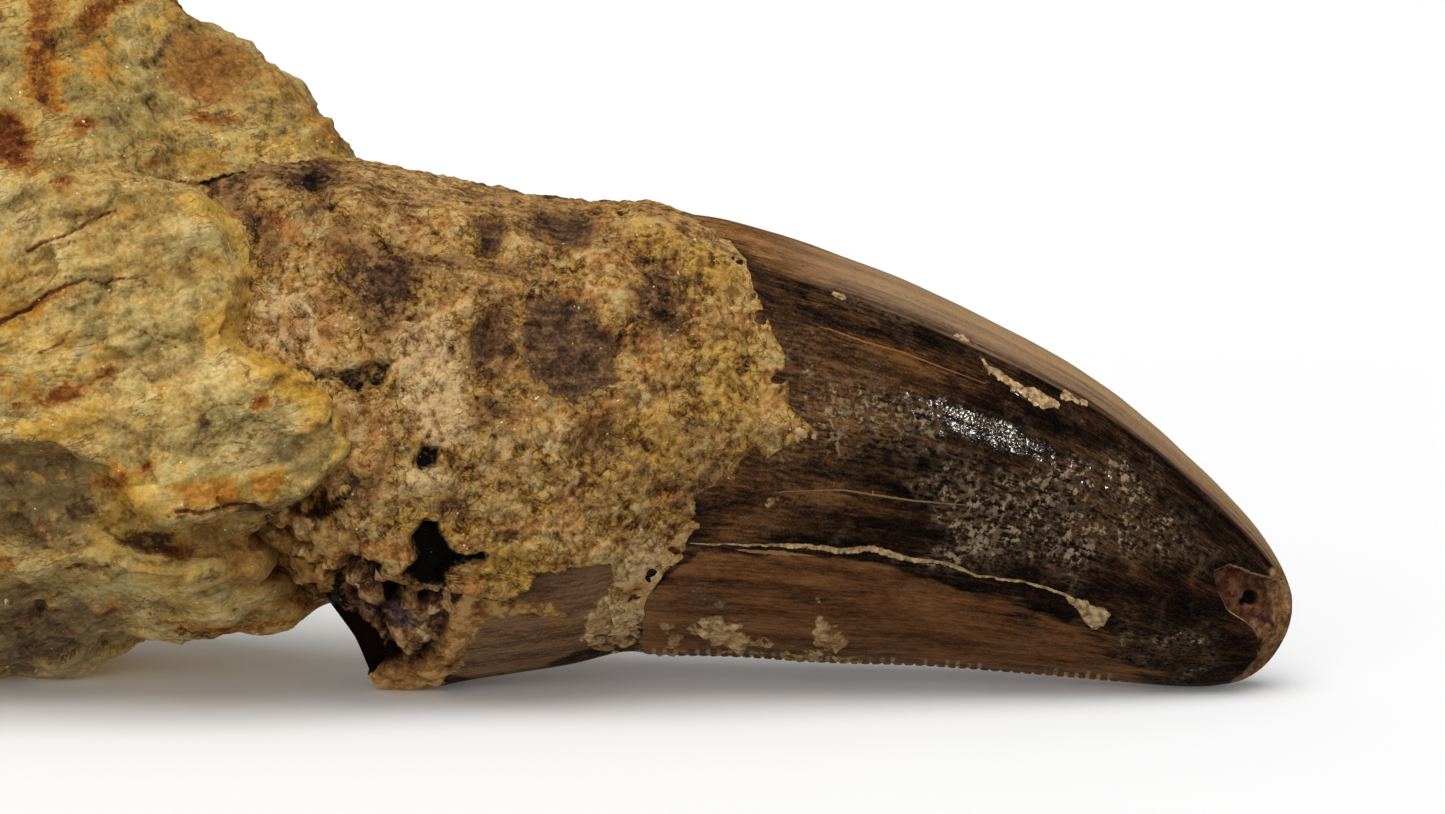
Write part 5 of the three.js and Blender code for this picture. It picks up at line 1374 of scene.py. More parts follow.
class Finish:
    """A material under construction: its tree, the colour so far and the steps that finishes repeat."""

    def __init__(self, name):
        self.material = bpy.data.materials.new(name)
        self.material.use_nodes = True
        self.tree = self.material.node_tree
        self.tree.nodes.clear()
        self.place = self.add("TexCoord").outputs["Object"]
        self.colour = None

    def add(self, kind, inputs=None, **settings):
        return add(self.tree, kind, inputs, **settings)

    def mask(self, name, output="Fac"):
        return self.add("Attribute", attribute_name=name).outputs[output]

    def noise(self, size_mm, detail=2.0, vector=None, distortion=0.0, rough=0.5):
        """Noise whose blotches are about size_mm across, on Object coordinates unless told otherwise."""
        scale = 1 / (size_mm * MM) if vector is None else 1 / size_mm
        return self.add("TexNoise", {
            "Vector": self.place if vector is None else vector,
            "Scale": scale, "Detail": detail, "Distortion": distortion, "Roughness": rough,
        }).outputs["Fac"]

    def grains(self, *sizes_mm):
        """Packed grains of each size: a random value for each grain, and its dome, 1 at the top."""
        wander = self.add("TexNoise", {
            "Vector": self.place, "Scale": 1 / (BREAKUP_SIZE * MM), "Detail": 1.0}).outputs["Color"]
        reach = (BREAKUP_REACH * MM,) * 3
        place = self.add("VectorMath", {0: wander, 1: reach, 2: self.place},
                         operation="MULTIPLY_ADD").outputs[0]
        results = []
        for size_mm in sizes_mm:
            cell = self.add("TexVoronoi", {
                "Vector": place, "Scale": 1 / (size_mm * MM)}, feature="F1").outputs
            random = self.add("SeparateColor", {0: cell["Color"]}).outputs[0]
            results += [random, self.math("SUBTRACT", 1.0, cell["Distance"])]
        return results

    def scaled(self, vector, *scale):
        return self.add("Mapping", {"Vector": vector, "Scale": scale}).outputs[0]

    def math(self, operation, a, b=0.0, c=0.0):
        return self.add("Math", {0: a, 1: b, 2: c}, operation=operation).outputs[0]

    def times(self, a, b):
        return self.math("MULTIPLY", a, b)

    def plus(self, base, value, amount):
        """The base plus a value times an amount."""
        return self.math("MULTIPLY_ADD", value, amount, base)

    def most(self, first, *others):
        for value in others:
            first = self.math("MAXIMUM", first, value)
        return first

    def off_middle(self, value):
        return self.math("SUBTRACT", value, MIDDLE_VALUE)

    def weigh(self, *parts):
        """Adds up values that lie round a half, by weight, so that the sum lies round a half too."""
        total = MIDDLE_VALUE - MIDDLE_VALUE * sum(weight for _, weight in parts)
        for value, weight in parts:
            total = self.plus(total, value, weight)
        return total

    def ramp(self, value, low, high, to_low=0.0, to_high=1.0):
        """A smooth step from one value to another as the input goes from low to high."""
        return self.add("MapRange", {
            "Value": value, "From Min": low, "From Max": high, "To Min": to_low, "To Max": to_high,
        }, interpolation_type="SMOOTHSTEP").outputs[0]

    def near_middle(self, value, reach, solid=0.0):
        """1 where a value is within solid of a half, down to 0 where it is reach away."""
        return self.ramp(self.math("ABSOLUTE", self.off_middle(value)), reach, solid)

    def tones(self, value, steps, *colours):
        """Colours along a value: one for each step, from low to high, eased between."""
        node = self.add("ValToRGB", {"Fac": value})
        elements = node.color_ramp.elements
        while len(elements) < len(steps):
            elements.new(MIDDLE_VALUE)
        for element, position, colour in zip(elements, steps, colours):
            element.position = position
            element.color = linear(colour)
        return node.outputs["Color"]

    def shifted(self, value, **shifts):
        """A value moved up or down by masks: each shift is a mask's name and its amount."""
        for name, amount in shifts.items():
            value = self.plus(value, self.mask(name), amount)
        return value

    def blend(self, under, over, factor):
        node = self.add("Mix", {0: factor}, data_type="RGBA")
        for index, colour in ((6, under), (7, over)):
            if isinstance(colour, bpy.types.NodeSocket):
                self.tree.links.new(colour, node.inputs[index])
            else:
                node.inputs[index].default_value = linear(colour)
        return node.outputs[2]

    def extent(self, name, breakup, sharp=0.1, level=0.5):
        """Where a mask passes a level, with a border broken up by a value that lies round a half."""
        loosened = self.math("ADD", self.mask(name), self.off_middle(breakup))
        return self.ramp(loosened, level - sharp, level + sharp)

    def tint(self, over, factor, amount=None):
        """Mixes a colour into the finish by a factor, or by a factor times an amount."""
        if amount is not None:
            factor = self.times(factor, amount)
        self.colour = self.blend(self.colour, over, factor)

    def layer(self, over, name, breakup, sharp=0.1, level=0.5):
        """Lays a colour over a mask's extent."""
        self.tint(over, self.extent(name, breakup, sharp, level))

    def stain(self, halo, core, name, breakup):
        """Lays a stain: a thin halo and a core."""
        self.tint(halo, self.extent(name, breakup, 0.2, 0.34), 0.7)
        self.layer(core, name, breakup, 0.18, 0.6)

    def finish(self, roughness, height, depth_mm, specular):
        """Ends the material. Height makes the bumps, depth_mm for a step from 0 to 1."""
        shader = self.add("BsdfPrincipled", {
            "Base Color": self.colour, "Roughness": roughness, "Specular IOR Level": specular,
        })
        if height is not None:
            bump = self.add("Bump", {"Height": height, "Distance": depth_mm * MM})
            self.tree.links.new(bump.outputs[0], shader.inputs["Normal"])
        output = self.add("OutputMaterial", {"Surface": shader.outputs[0]})
        output.is_active_output = True
        return self.material


def sandstone(settings):
    """Ochre sandstone, broken not cut: matt quartz grains in a clay and iron cement.

    The eye sees grains a third of a millimetre across, pale and dark, stains of rust,
    yellow ochre and grey-green clay, and thin dark seams that follow the bedding.
    """
    f = Finish("weathered sandstone")
    bed = f.add("Mapping", {
        "Vector": f.place, "Rotation": (0, -BEDDING_TILT, 0), "Scale": (3 * MM, 3 * MM, MM),
    }, vector_type="TEXTURE").outputs[0]
    broad = f.noise(3.6, 3)
    medium = f.noise(1.2, 5, rough=0.6)
    streaky = f.noise(0.9, 5, bed, 0.2, 0.6)
    hue = f.noise(2.4, 5, distortion=0.3, rough=0.65)
    grit = f.noise(0.5, 5, rough=0.7)
    fine = f.noise(0.2, 2)
    small, small_dome = f.grains(0.3)
    value = f.weigh(
        (broad, 0.3), (medium, 0.32), (streaky, 0.34), (grit, 0.42), (fine, 0.24), (small, 0.08))
    # Relief: raised places lighter and recesses darker, partly dirt in the recesses and partly painted
    # shade.
    value = f.shifted(value, pale=0.12, relief=0.2, upper=-0.04, rust=-0.05, orange=0.02)
    breakup = f.weigh((medium, 1.5), (streaky, 0.6), (grit, 2.0))

    def tones(*colours, steps=ROCK_STAIN_STEPS):
        return f.tones(value, steps, *colours)

    ochre = tones("#2c1a08", "#7c5516", settings.ochre_colour, "#dfb75a")
    olive = tones("#211a0c", "#5e4b28", "#958047", "#c8b378", steps=(0.16, 0.3, 0.45, 0.64))
    orange = tones("#2a1105", "#763b09", "#a86212", "#d69b45")
    rust = tones("#180804", "#3d1a09", settings.rust_colour, "#8f5420", "#bd8a48",
                 steps=(0.16, 0.32, 0.44, 0.56, 0.7))
    brown = tones("#2a1809", "#6f441b", "#9a6930", "#bb8e50")
    # The grey tones carry painted shade as well as the clay's colour.
    grey = tones("#1c130b", "#513c24", "#7a613b", "#a48c60")
    shade = tones("#150a06", "#2d190e", "#482c18", "#765230", steps=(0.16, 0.34, 0.48, 0.66))
    oxide = tones("#1d0d06", "#4a2410", "#6f3a17", "#94602f", steps=(0.2, 0.38, 0.52, 0.7))
    f.colour = tones("#24160b", "#6c4c24", "#a07c42", settings.stone_colour, "#d8bd7f", "#eee0b2",
                     steps=ROCK_STEPS)
    f.tint(ochre, f.ramp(hue, 0.5, 0.62), 0.55)
    f.tint(olive, f.ramp(hue, 0.5, 0.38), 0.55)
    f.tint(olive, f.mask("upper"), 0.25)
    f.stain(olive, olive, "green", breakup)
    f.stain(grey, grey, "grey", breakup)
    f.stain(brown, brown, "brown", medium)
    f.stain(ochre, ochre, "yellow", breakup)
    f.stain(ochre, orange, "orange", breakup)
    f.stain(orange, rust, "rust", breakup)
    seam = f.times(f.near_middle(streaky, 0.024, 0.004), f.ramp(broad, 0.5, 0.6))
    f.tint(rust, seam, 0.6)
    # The dark marks: cracks and dark spots, and painted shade under the bulge's lip and in the gap by the
    # crust.
    f.layer(shade, "dark", f.weigh((medium, 1.0), (grit, 1.4)), 0.22)
    f.layer(oxide, "seams", f.weigh((medium, 0.7), (grit, 1.0)), 0.25)
    # Painted highlight: a few grains painted near white as glints, and made glossier there.
    glint = f.ramp(f.noise(0.26, 0), 0.79, 0.82)
    f.tint("#f3ead4", glint, f.ramp(medium, 0.5, 0.6))
    height = f.plus(f.times(grit, 1.6), small_dome, 0.35)
    height = f.plus(f.plus(height, fine, 0.5), seam, -0.4)
    return f.finish(f.plus(0.88, glint, -0.5), height, 0.10, 0.3)


def cemented_sand(settings):
    """Sand grains cemented by iron oxide and calcite: crumbly, matt, with dark glossy spots.

    Each grain has its own tone, painted shade darkens the gaps between them, and bare brown
    patches of the root show through.
    """
    f = Finish("iron-cemented sand")
    fibres = f.noise(0.45, 4, f.scaled(f.mask("lie", "Vector"), 0.16, 1.0, 1.0), rough=0.6)
    broad = f.noise(3.0, 3)
    medium = f.noise(1.1, 4, rough=0.6)
    hue = f.noise(1.7, 5, distortion=0.3, rough=0.65)
    grit = f.noise(0.42, 5, rough=0.68)
    fine = f.noise(0.17, 2)
    small, small_dome, large, large_dome = f.grains(0.34, 0.7)
    value = f.weigh(
        (broad, 0.36), (medium, 0.42), (grit, 0.68), (fine, 0.2), (small, 0.14), (large, 0.11))
    value = f.plus(value, f.times(f.off_middle(fibres), f.mask("bony")), 1.0)
    creased = f.noise(0.8, 5, distortion=0.6, rough=0.6)
    crease = f.times(f.near_middle(creased, 0.05), f.ramp(hue, 0.4, 0.58))
    # Painted shade: darker along the creases and between the grains, and relief makes raised lumps
    # lighter and hollows darker.
    value = f.plus(f.math("ADD", value, 0.025), crease, -0.11)
    value = f.plus(value, f.ramp(small_dome, 0.44, 0.26), -0.05)
    value = f.shifted(value, cream=0.1, relief=0.32, dark=-0.08)
    breakup = f.weigh((medium, 1.3), (grit, 1.3), (small, 0.25))
    root = f.weigh((fibres, 0.6), (medium, 0.7), (fine, 0.4), (grit, 0.8))

    def tones(*colours, steps=SAND_STAIN_STEPS):
        return f.tones(value, steps, *colours)

    ochre = tones("#1f1305", "#5a3c12", "#946a27", "#c49a46")
    olive = tones("#1a150b", "#4e4024", "#80704a", "#aa9c6f")
    rust = tones("#190b05", "#55290e", "#8a4e20", "#b87f42")
    pale = tones("#2b1c10", "#765331", "#ab8353", "#d8b680")
    stains_and_shade = tones("#0f0906", "#271810", "#442c1b", "#664526", "#9a7344",
                    steps=(0.18, 0.29, 0.38, 0.47, 0.6))
    bare = f.tones(root, (0.25, 0.4, 0.54, 0.72), "#1c110a", "#3f2a1a", "#5f432b", "#8a6740")
    bony = f.tones(root, (0.26, 0.42, 0.55, 0.7), "#4c301a", "#90683a", "#b88e55", "#d0ac74")
    f.colour = tones("#1a0f07", "#4b3015", "#80582a", settings.sand_colour, "#c39b5d", "#dfc68e",
                     steps=SAND_STEPS)
    f.tint(ochre, f.ramp(hue, 0.5, 0.6), 0.7)
    f.tint(rust, f.ramp(hue, 0.46, 0.36), 0.7)
    f.tint(olive, f.ramp(large, 0.7, 0.8), 0.35)
    f.tint(rust, crease, 0.4)
    f.stain(ochre, ochre, "yellow", breakup)
    f.stain(pale, pale, "cream", breakup)
    f.stain(rust, rust, "rust", breakup)
    f.tint(bony, f.ramp(f.mask("bony"), 0.4, 0.9), 0.6)
    # Dark patches: stains, and the painted shadow of the rock's lip.
    f.layer(stains_and_shade, "dark", f.weigh((medium, 0.9), (grit, 2.0), (small, 0.3)), 0.14, 0.45)
    f.layer(bare, "bare", f.weigh((medium, 0.9), (grit, 1.9), (small, 0.2)), 0.16)
    # Near black in the holes, the pocket and the gap under the rock: painted shade, and the black glossy
    # spots.
    f.layer("#0f0906", "black", f.weigh((medium, 0.6), (grit, 1.0)), 0.16)
    # Painted highlight: a few grains painted pale as glints, and made glossier there.
    glint = f.ramp(f.noise(0.22, 0), 0.79, 0.83)
    f.tint("#ddd0b4", glint, f.ramp(medium, 0.48, 0.58))
    height = f.plus(f.times(large_dome, 0.2), small_dome, 0.35)
    height = f.plus(f.plus(f.plus(height, crease, -0.5), grit, 1.6), fine, 0.4)
    roughness = f.plus(0.82, f.most(glint, f.mask("glossy")), -0.42)
    return f.finish(roughness, height, 0.13, 0.35)


def fill_cracks(f, spot, fine, cream):
    """Fills the enamel's cracks. Fine noise breaks the filling's edges up."""
    parts = f.add("SeparateXYZ", {0: f.mask("cracks", "Vector")}).outputs
    for field, corners, filling in (
        (parts[0], MAIN_CRACK, cream),
        (f.mask("second_crack"), SECOND_CRACK, "#8d6c44"),
        (parts[1], ORANGE_CRACK, "#8c5a30"),
        (parts[2], THIN_CRACK, "#7a6149"),
    ):
        first, last = corners[0][0] * MM, corners[-1][0] * MM
        wander = f.plus(field, f.off_middle(fine), CRACK_BREAKUP)
        line = f.times(f.ramp(f.math("ABSOLUTE", wander), 1.15, 0.8), f.mask("front"))
        line = f.times(line, f.ramp(spot, first, first + CRACK_FADE))
        f.tint(filling, line, f.ramp(spot, last, last - CRACK_FADE))


def dirty_slots(f, spot, medium):
    """Lays dirt in some of the slots between denticles."""
    turns = f.plus(-DENTICLES_FROM / DENTICLE_PITCH, spot, 1 / (DENTICLE_PITCH * MM))
    phase = f.math("ABSOLUTE", f.off_middle(f.math("FRACT", turns)))
    slot = f.times(f.ramp(phase, 0.26, 0.36), f.ramp(f.mask("keel_edge"), 0.62, 0.4))
    for first, last in DIRTY_DENTICLES:
        begun = f.ramp(spot, (first - DIRT_FADE) * MM, (first + DIRT_FADE) * MM)
        ended = f.ramp(spot, (last + DIRT_FADE) * MM, (last - DIRT_FADE) * MM)
        dirty = f.times(slot, f.times(begun, ended))
        f.tint("#a08660", dirty, f.ramp(medium, 0.42, 0.52, 0.0, 0.8))


def fossil_enamel(settings):
    """Fossil tooth enamel: mineral-stained brown to black, polished, with fine lengthwise striae.

    It shines where it is whole, and is matt where sand, cracks and breaks have spoilt it.
    """
    f = Finish("fossil tooth enamel")
    spot = f.add("SeparateXYZ", {0: f.place}).outputs[0]
    lie = f.mask("lie", "Vector")
    long_lie = f.scaled(lie, 0.05, 1.0, 1.0)
    short_lie = f.scaled(lie, 0.3, 1.0, 1.0)
    striae = f.noise(0.16, 2, long_lie)
    streaks = f.noise(0.8, 5, long_lie, rough=0.62)
    patches = f.noise(1.7, 6, short_lie, rough=0.62)
    scratches = f.noise(0.22, 3, short_lie, rough=0.6)
    hue = f.noise(1.6, 3)
    medium = f.noise(0.9, 5, rough=0.6)
    fine = f.noise(0.3, 4, rough=0.65)
    dust = f.noise(0.13, 2)
    small, small_dome, large, _ = f.grains(0.3, 0.62)

    # The sound enamel: black at the tip, browner towards the root and on the lower face.
    tone = f.weigh((streaks, 0.26), (patches, 0.72), (striae, 0.2), (scratches, 0.42), (dust, 0.24))
    tone = f.shifted(tone, warm=0.14)
    f.colour = f.tones(tone, (0.38, 0.52, 0.64, 0.78),
                       "#0b0605", settings.enamel_colour, "#3f2816", "#6c4928")
    lower = f.tones(tone, (0.3, 0.42, 0.54, 0.72),
                    "#27170c", "#4e311b", settings.lower_colour, "#8b5f3a")
    f.layer(lower, "lower_face", f.weigh((patches, 1.6)), 0.2)
    base = f.tones(tone, (0.3, 0.44, 0.56, 0.72), "#21140b", "#452d18", "#60412a", "#866445")
    f.tint(base, f.ramp(f.mask("base_enamel"), 0.3, 0.5))

    # The worn crest: brown and streaky by the crust, beyond it a smooth greyish tan, partly a painted
    # sheen.
    crest = f.plus(f.mask("crest"), f.off_middle(streaks), 0.5)
    brown_wear = f.tones(tone, (0.36, 0.48, 0.6, 0.75), "#3b2414", "#6b4524", "#936638", "#b08656")
    smooth_tone = f.weigh((streaks, 0.35), (striae, 0.2), (fine, 0.2), (patches, 0.3))
    # Lighter towards the top of the crest: a painted sheen.
    smooth_tone = f.plus(smooth_tone, f.ramp(crest, 0.05, 0.75), 0.24)
    grey_wear_and_sheen = f.tones(smooth_tone, (0.42, 0.54, 0.66, 0.8),
                        "#5c4536", "#866a51", settings.crest_colour, "#aa8a64")
    worn = f.blend(brown_wear, grey_wear_and_sheen, f.ramp(spot, *BROWN_TO_GREY_CREST))
    f.tint(worn, f.ramp(crest, -0.04, 0.16))

    # Scuffs: crumbs of dust caught in crazed enamel, in clumps.
    gather = f.weigh((medium, 1.5), (f.noise(2.6, 3), 1.6))
    clump = f.math("ADD", f.mask("scuffed"), f.off_middle(gather))
    crumbs = f.ramp(f.plus(f.weigh((fine, 1.1), (scratches, 0.3)), clump, 0.24), 0.69, 0.78)
    crumbs = f.times(crumbs, f.ramp(clump, 0.4, 0.8))
    haze = f.ramp(f.weigh((fine, 1.0), (scratches, 0.7)), 0.36, 0.62)
    haze = f.times(haze, f.ramp(clump, 0.05, 0.75))
    f.tint(f.blend("#67533f", "#7a5a36", f.mask("warm")), haze, 0.48)
    dusty = f.tones(f.weigh((large, 0.5), (fine, 0.6)), (0.3, 0.5, 0.75), "#4b3c2c", "#75624b", "#ab9677")
    f.tint(dusty, crumbs, 0.62)
    f.tint("#86705a", f.times(f.ramp(scratches, 0.66, 0.72), f.ramp(medium, 0.5, 0.62)), 0.55)

    # The broken root end.
    value = f.weigh((medium, 0.6), (fine, 0.4), (small, 0.14), (large, 0.12), (small_dome, 0.1))
    # Painted shade: hollows of the rubble and the crumbs darker, their tops lighter.
    value = f.shifted(value, relief=0.4)
    breakup = f.weigh((medium, 1.1), (fine, 0.6), (small, 0.2))
    tan = f.tones(value, (0.2, 0.36, 0.5, 0.66), "#2b190c", "#6b4622", "#976a36", "#bd935a")
    rubble = f.tones(value, (0.24, 0.4, 0.52, 0.64, 0.8),
                     "#0c0705", "#351f15", "#5d3e28", "#8a653f", "#b5925f")
    purple = f.tones(value, (0.22, 0.38, 0.5, 0.7), "#140c0b", "#3d2b2a", "#5f4745", "#8b7068")
    sandy = f.tones(value, (0.2, 0.36, 0.5, 0.68), "#3a2817", "#7d5c36", "#a78355", "#cfb182")
    matrix = f.tones(value, (0.22, 0.36, 0.48, 0.6, 0.74),
                     "#140b06", "#402613", "#6c4723", "#97713d", "#bc985c")
    f.layer(tan, "tan_rim", breakup, 0.12)
    f.layer(f.blend(matrix, tan, f.ramp(hue, 0.45, 0.6)), "root_coat", breakup, 0.12)
    f.layer(rubble, "pulp", breakup, 0.12)
    f.layer(purple, "pulp_purple", breakup, 0.2)
    f.layer(sandy, "pulp_light", breakup, 0.15)

    # The flake missing from the tip, the sand that still clings, and the deep hole.
    chalky = (0.36, 0.5, 0.66)
    spall = f.tones(f.weigh((medium, 1.0), (fine, 0.6)), chalky, "#371c13", "#52301f", "#6f4a34")
    f.layer(spall, "spall", f.weigh((fine, 0.2)), 0.08)
    ochre = f.tones(f.weigh((medium, 0.8), (fine, 0.6)), chalky, "#5a3a22", "#83603e", "#a8845c")
    f.layer(ochre, "spall_ochre", f.weigh((medium, 0.8)), 0.25, 0.4)
    rim = f.times(f.ramp(f.mask("spall"), 0.26, 0.4), f.ramp(f.mask("spall"), 0.62, 0.48))
    f.tint("#a08465", rim, f.ramp(fine, 0.36, 0.5))
    f.layer("#150d0a", "spall_pit", f.weigh((fine, 0.2)), 0.2)
    f.layer(sandy, "sand", f.weigh((fine, 0.5)))
    cream = f.tones(f.weigh((fine, 1.2), (small, 0.2)), (0.3, 0.48, 0.66),
                    "#6b5138", "#9c7f58", "#c4a77d")
    f.layer(cream, "cream", f.weigh((fine, 1.0)), 0.12)
    # Near black over the root wall, the holes, the pits and under the rock's lip: partly dark dentine,
    # mostly painted shade.
    f.layer("#130a07", "dentine_and_hollow_shade", f.weigh((fine, 0.3)), 0.12)

    fill_cracks(f, spot, fine, cream)
    dirty_slots(f, spot, medium)

    # Matt where it is spoilt, and polished elsewhere.
    warm = f.times(f.mask("warm"), f.ramp(spot, *POLISHED_TO_WARM))
    crest_wear = f.times(f.ramp(crest, 0.0, 0.3), 0.55)
    spoilt = [f.mask(name) for name in ("pulp", "sand", "spall", "tan_rim", "root_coat")]
    matt = f.most(crumbs, warm, crest_wear, *spoilt)
    roughness = f.plus(settings.polish, f.ramp(matt, 0.2, 0.8), 0.6)
    polished = f.plus(f.times(dust, 0.004), striae, 0.002)
    broken = f.plus(f.times(fine, 0.08), small_dome, 0.06)
    height = f.plus(polished, f.ramp(matt, 0.3, 0.8), broken)
    # The polish is pitted, so that its highlight breaks into sparks. The root end has none.
    sparks = f.ramp(f.noise(0.14, 2, rough=0.6), 0.5, 0.6, 0.02, 0.42)
    whole = f.times(f.ramp(f.mask("dentine_and_hollow_shade"), 0.5, 0.3), f.ramp(spot, *ROOT_TO_SHINE))
    return f.finish(roughness, height, 1.0, f.times(sparks, whole))


def painted_floor():
    """A matt white sweep of painted board."""
    f = Finish("white painted board")
    f.colour = f.blend("#fafafa", "#fdfdfd", f.noise(40.0, 2))
    return f.finish(1.0, None, 0, 0.0)


# ------ settings


def colour_setting(name, description, colour):
    """A colour that the user may change, given as sRGB hex."""
    return bpy.props.FloatVectorProperty(
        name=name, description=description, default=linear(colour)[:3], min=0, max=1, subtype="COLOR")


def number_setting(name, description, default, **kind):
    """A number that the user may change. Kind gives its limits, and its unit or subtype."""
    return bpy.props.FloatProperty(name=name, description=description, default=default, **kind)


def height_setting(name, description, height_mm):
    return number_setting(name, description, height_mm * MM, min=0, unit="LENGTH")


class ToothSettings(bpy.types.PropertyGroup):
    enamel_colour: colour_setting("Enamel", "Colour of the sound dark enamel", "#1c110b")
    lower_colour: colour_setting("Lower face", "Colour of the brown facet along the saw edge", "#6c4628")
    # The crest band's colour is partly a painted sheen of the light from above.
    crest_colour: colour_setting("Crest", "Colour of the worn band along the crest", "#9b7b58")
    polish: number_setting(
        "Enamel roughness", "Roughness of the polished enamel", 0.115, min=0, max=1, subtype="FACTOR")
    denticle_height: height_setting(
        "Denticle height", "How far the saw edge's denticles stand out", 0.11)
    sand_height: height_setting(
        "Sand crumbs", "How far the crumbs of sand on the enamel stand proud", 0.22)


class CrustSettings(bpy.types.PropertyGroup):
    sand_colour: colour_setting("Sand", "Middle tone of the cemented sand", "#a87e40")
    grain_height: height_setting("Grain height", "How far single grains stand out of the crust", 0.18)


class RockSettings(bpy.types.PropertyGroup):
    stone_colour: colour_setting("Stone", "Middle tone of the sandstone", "#c2a260")
    ochre_colour: colour_setting("Ochre", "Middle tone of its yellow ochre stains", "#b8892b")
    rust_colour: colour_setting("Rust", "Middle tone of its rust stains", "#622f0e")
    relief: number_setting(
        "Relief", "Height of the rock's chips and ledges, 1 as found", 1.0, min=0, subtype="FACTOR")


class StageSettings(bpy.types.PropertyGroup):
    floor_size: number_setting("Floor size", "Side of the pale floor", 12.0, unit="LENGTH")
    overhead_strength: number_setting("Overhead light", "Strength of the soft light from above", 1.9)
    fill_strength: number_setting("Fill light", "Strength of the soft light from the front", 1.3)
    glint_energy: number_setting(
        "Glint light", "Power of the small light that the enamel mirrors", 0.09, unit="POWER")
    sky_strength: number_setting(
        "Surround", "How strongly the white surround lights the fossil", 0.36)


class FossilSettings(bpy.types.PropertyGroup):
    tooth: bpy.props.PointerProperty(type=ToothSettings)
    crust: bpy.props.PointerProperty(type=CrustSettings)
    rock: bpy.props.PointerProperty(type=RockSettings)
    stage: bpy.props.PointerProperty(type=StageSettings)


# ------ operators


def dress(piece, material, node):
    """Gives a piece its material, and lets it stand for its node."""
    piece.data.materials.append(material)
    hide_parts(node)
    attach(piece, BODY)


class FOSSIL_OT_tooth(bpy.types.Operator):
    """Add the fossil tooth"""
    bl_idname = "fossil.tooth"
    bl_label = "Tooth"

    def execute(self, context):
        settings = context.scene.fossil.tooth
        dress(build_tooth(settings), fossil_enamel(settings), "tooth")
        return {"FINISHED"}


class FOSSIL_OT_crust(bpy.types.Operator):
    """Add the crust of cemented sand"""
    bl_idname = "fossil.crust"
    bl_label = "Sand crust"

    def execute(self, context):
        settings = context.scene.fossil.crust
        dress(build_crust(settings), cemented_sand(settings), "crust")
        return {"FINISHED"}


class FOSSIL_OT_rock(bpy.types.Operator):
    """Add the sandstone matrix"""
    bl_idname = "fossil.rock"
    bl_label = "Sandstone matrix"

    def execute(self, context):
        settings = context.scene.fossil.rock
        dress(build_rock(settings), sandstone(settings), "rock")
        return {"FINISHED"}


def add_light(name, kind, place, aim, **settings):
    """Adds a light at a place in mm, turned towards aim."""
    light = bpy.data.lights.new(name, kind)
    for key, value in settings.items():
        setattr(light, key, value)
    lamp = bpy.data.objects.new(name, light)
    bpy.context.collection.objects.link(lamp)
    place = np.array(place) * MM
    lamp.location = place
    way = Vector(np.array(aim) * MM - place)
    lamp.rotation_euler = way.to_track_quat("-Z", "Y").to_euler()
    return lamp


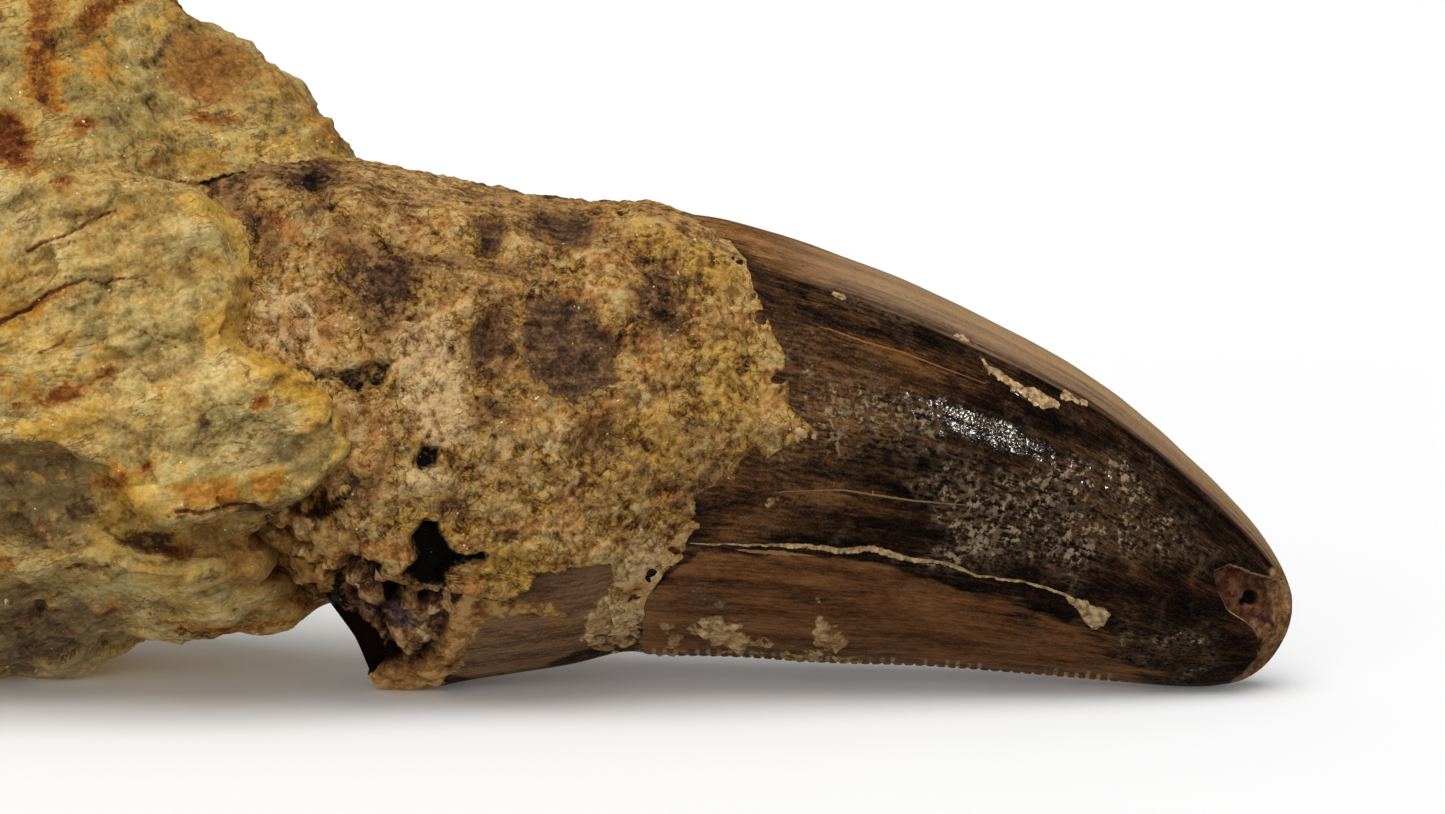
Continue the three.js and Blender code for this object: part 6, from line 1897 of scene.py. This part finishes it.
class FOSSIL_OT_stage(bpy.types.Operator):
    """Add the floor, the lights and the camera"""
    bl_idname = "fossil.stage"
    bl_label = "Stage"

    def execute(self, context):
        settings = context.scene.fossil.stage
        half = settings.floor_size / 2
        corners = [(-half, -half, 0), (half, -half, 0), (half, half, 0), (-half, half, 0)]
        mesh = bpy.data.meshes.new("floor")
        mesh.from_pydata(corners, [], [(0, 1, 2, 3)])
        floor = bpy.data.objects.new("floor", mesh)
        context.collection.objects.link(floor)
        mesh.materials.append(painted_floor())
        # The floor is as white as the surround to the eye, but doesn't light the fossil.
        floor.visible_diffuse = False
        floor.visible_glossy = False

        world = bpy.data.worlds.new("white surround")
        context.scene.world = world
        world.use_nodes = True
        tree = world.node_tree
        tree.nodes.clear()
        rays = add(tree, "LightPath").outputs
        unlit = add(tree, "MapRange", {
            "Value": rays["Is Glossy Ray"], "To Min": settings.sky_strength, "To Max": REFLECTED_SKY})
        strength = add(tree, "MapRange", {
            "Value": rays["Is Camera Ray"], "To Min": unlit.outputs[0], "To Max": 1.0})
        sky = add(tree, "Background", {"Color": (1, 1, 1, 1), "Strength": strength.outputs[0]})
        add(tree, "OutputWorld", {"Surface": sky.outputs[0]})

        overhead = add_light("overhead", "SUN", (20, -130, 400), MIDDLE,
                             energy=settings.overhead_strength, angle=math.radians(55))
        fill = add_light("fill", "SUN", (-60, -300, 85), MIDDLE,
                         energy=settings.fill_strength, angle=math.radians(50))
        glint = add_light("glint", "AREA", (214, -243, 126), (62, -6, 15),
                          energy=settings.glint_energy, size=0.010, color=(1.0, 0.92, 0.8))
        overhead.visible_glossy = False
        fill.visible_glossy = False
        glint.visible_diffuse = False

        camera = bpy.data.cameras.new("camera")
        camera.lens = LENS_MM
        camera.sensor_width = SENSOR_MM
        camera.clip_start = 0.01
        camera.clip_end = 50
        eye = bpy.data.objects.new("camera", camera)
        context.collection.objects.link(eye)
        eye.location = EYE * MM
        eye.rotation_euler = (EYE_TILT, 0, 0)
        context.scene.camera = eye
        context.scene.view_settings.view_transform = "Standard"
        return {"FINISHED"}


class FOSSIL_PT_panel(bpy.types.Panel):
    bl_label = "Fossil tooth"
    bl_idname = "FOSSIL_PT_panel"
    bl_space_type = "VIEW_3D"
    bl_region_type = "UI"
    bl_category = "Fossil"

    def draw(self, context):
        settings = context.scene.fossil
        for operator, group in OPERATORS:
            box = self.layout.box()
            box.operator(operator.bl_idname)
            part = getattr(settings, group)
            for name in part.__annotations__:
                box.prop(part, name)


OPERATORS = (
    (FOSSIL_OT_tooth, "tooth"),
    (FOSSIL_OT_crust, "crust"),
    (FOSSIL_OT_rock, "rock"),
    (FOSSIL_OT_stage, "stage"),
)
CLASSES = (
    ToothSettings, CrustSettings, RockSettings, StageSettings, FossilSettings,
    *[operator for operator, _ in OPERATORS], FOSSIL_PT_panel,
)


def register():
    for cls in CLASSES:
        bpy.utils.register_class(cls)
    bpy.types.Scene.fossil = bpy.props.PointerProperty(type=FossilSettings)


def unregister():
    del bpy.types.Scene.fossil
    for cls in reversed(CLASSES):
        bpy.utils.unregister_class(cls)


def main():
    register()
    bpy.ops.fossil.tooth()
    bpy.ops.fossil.crust()
    bpy.ops.fossil.rock()
    bpy.ops.fossil.stage()


if __name__ == "__main__":
    main()
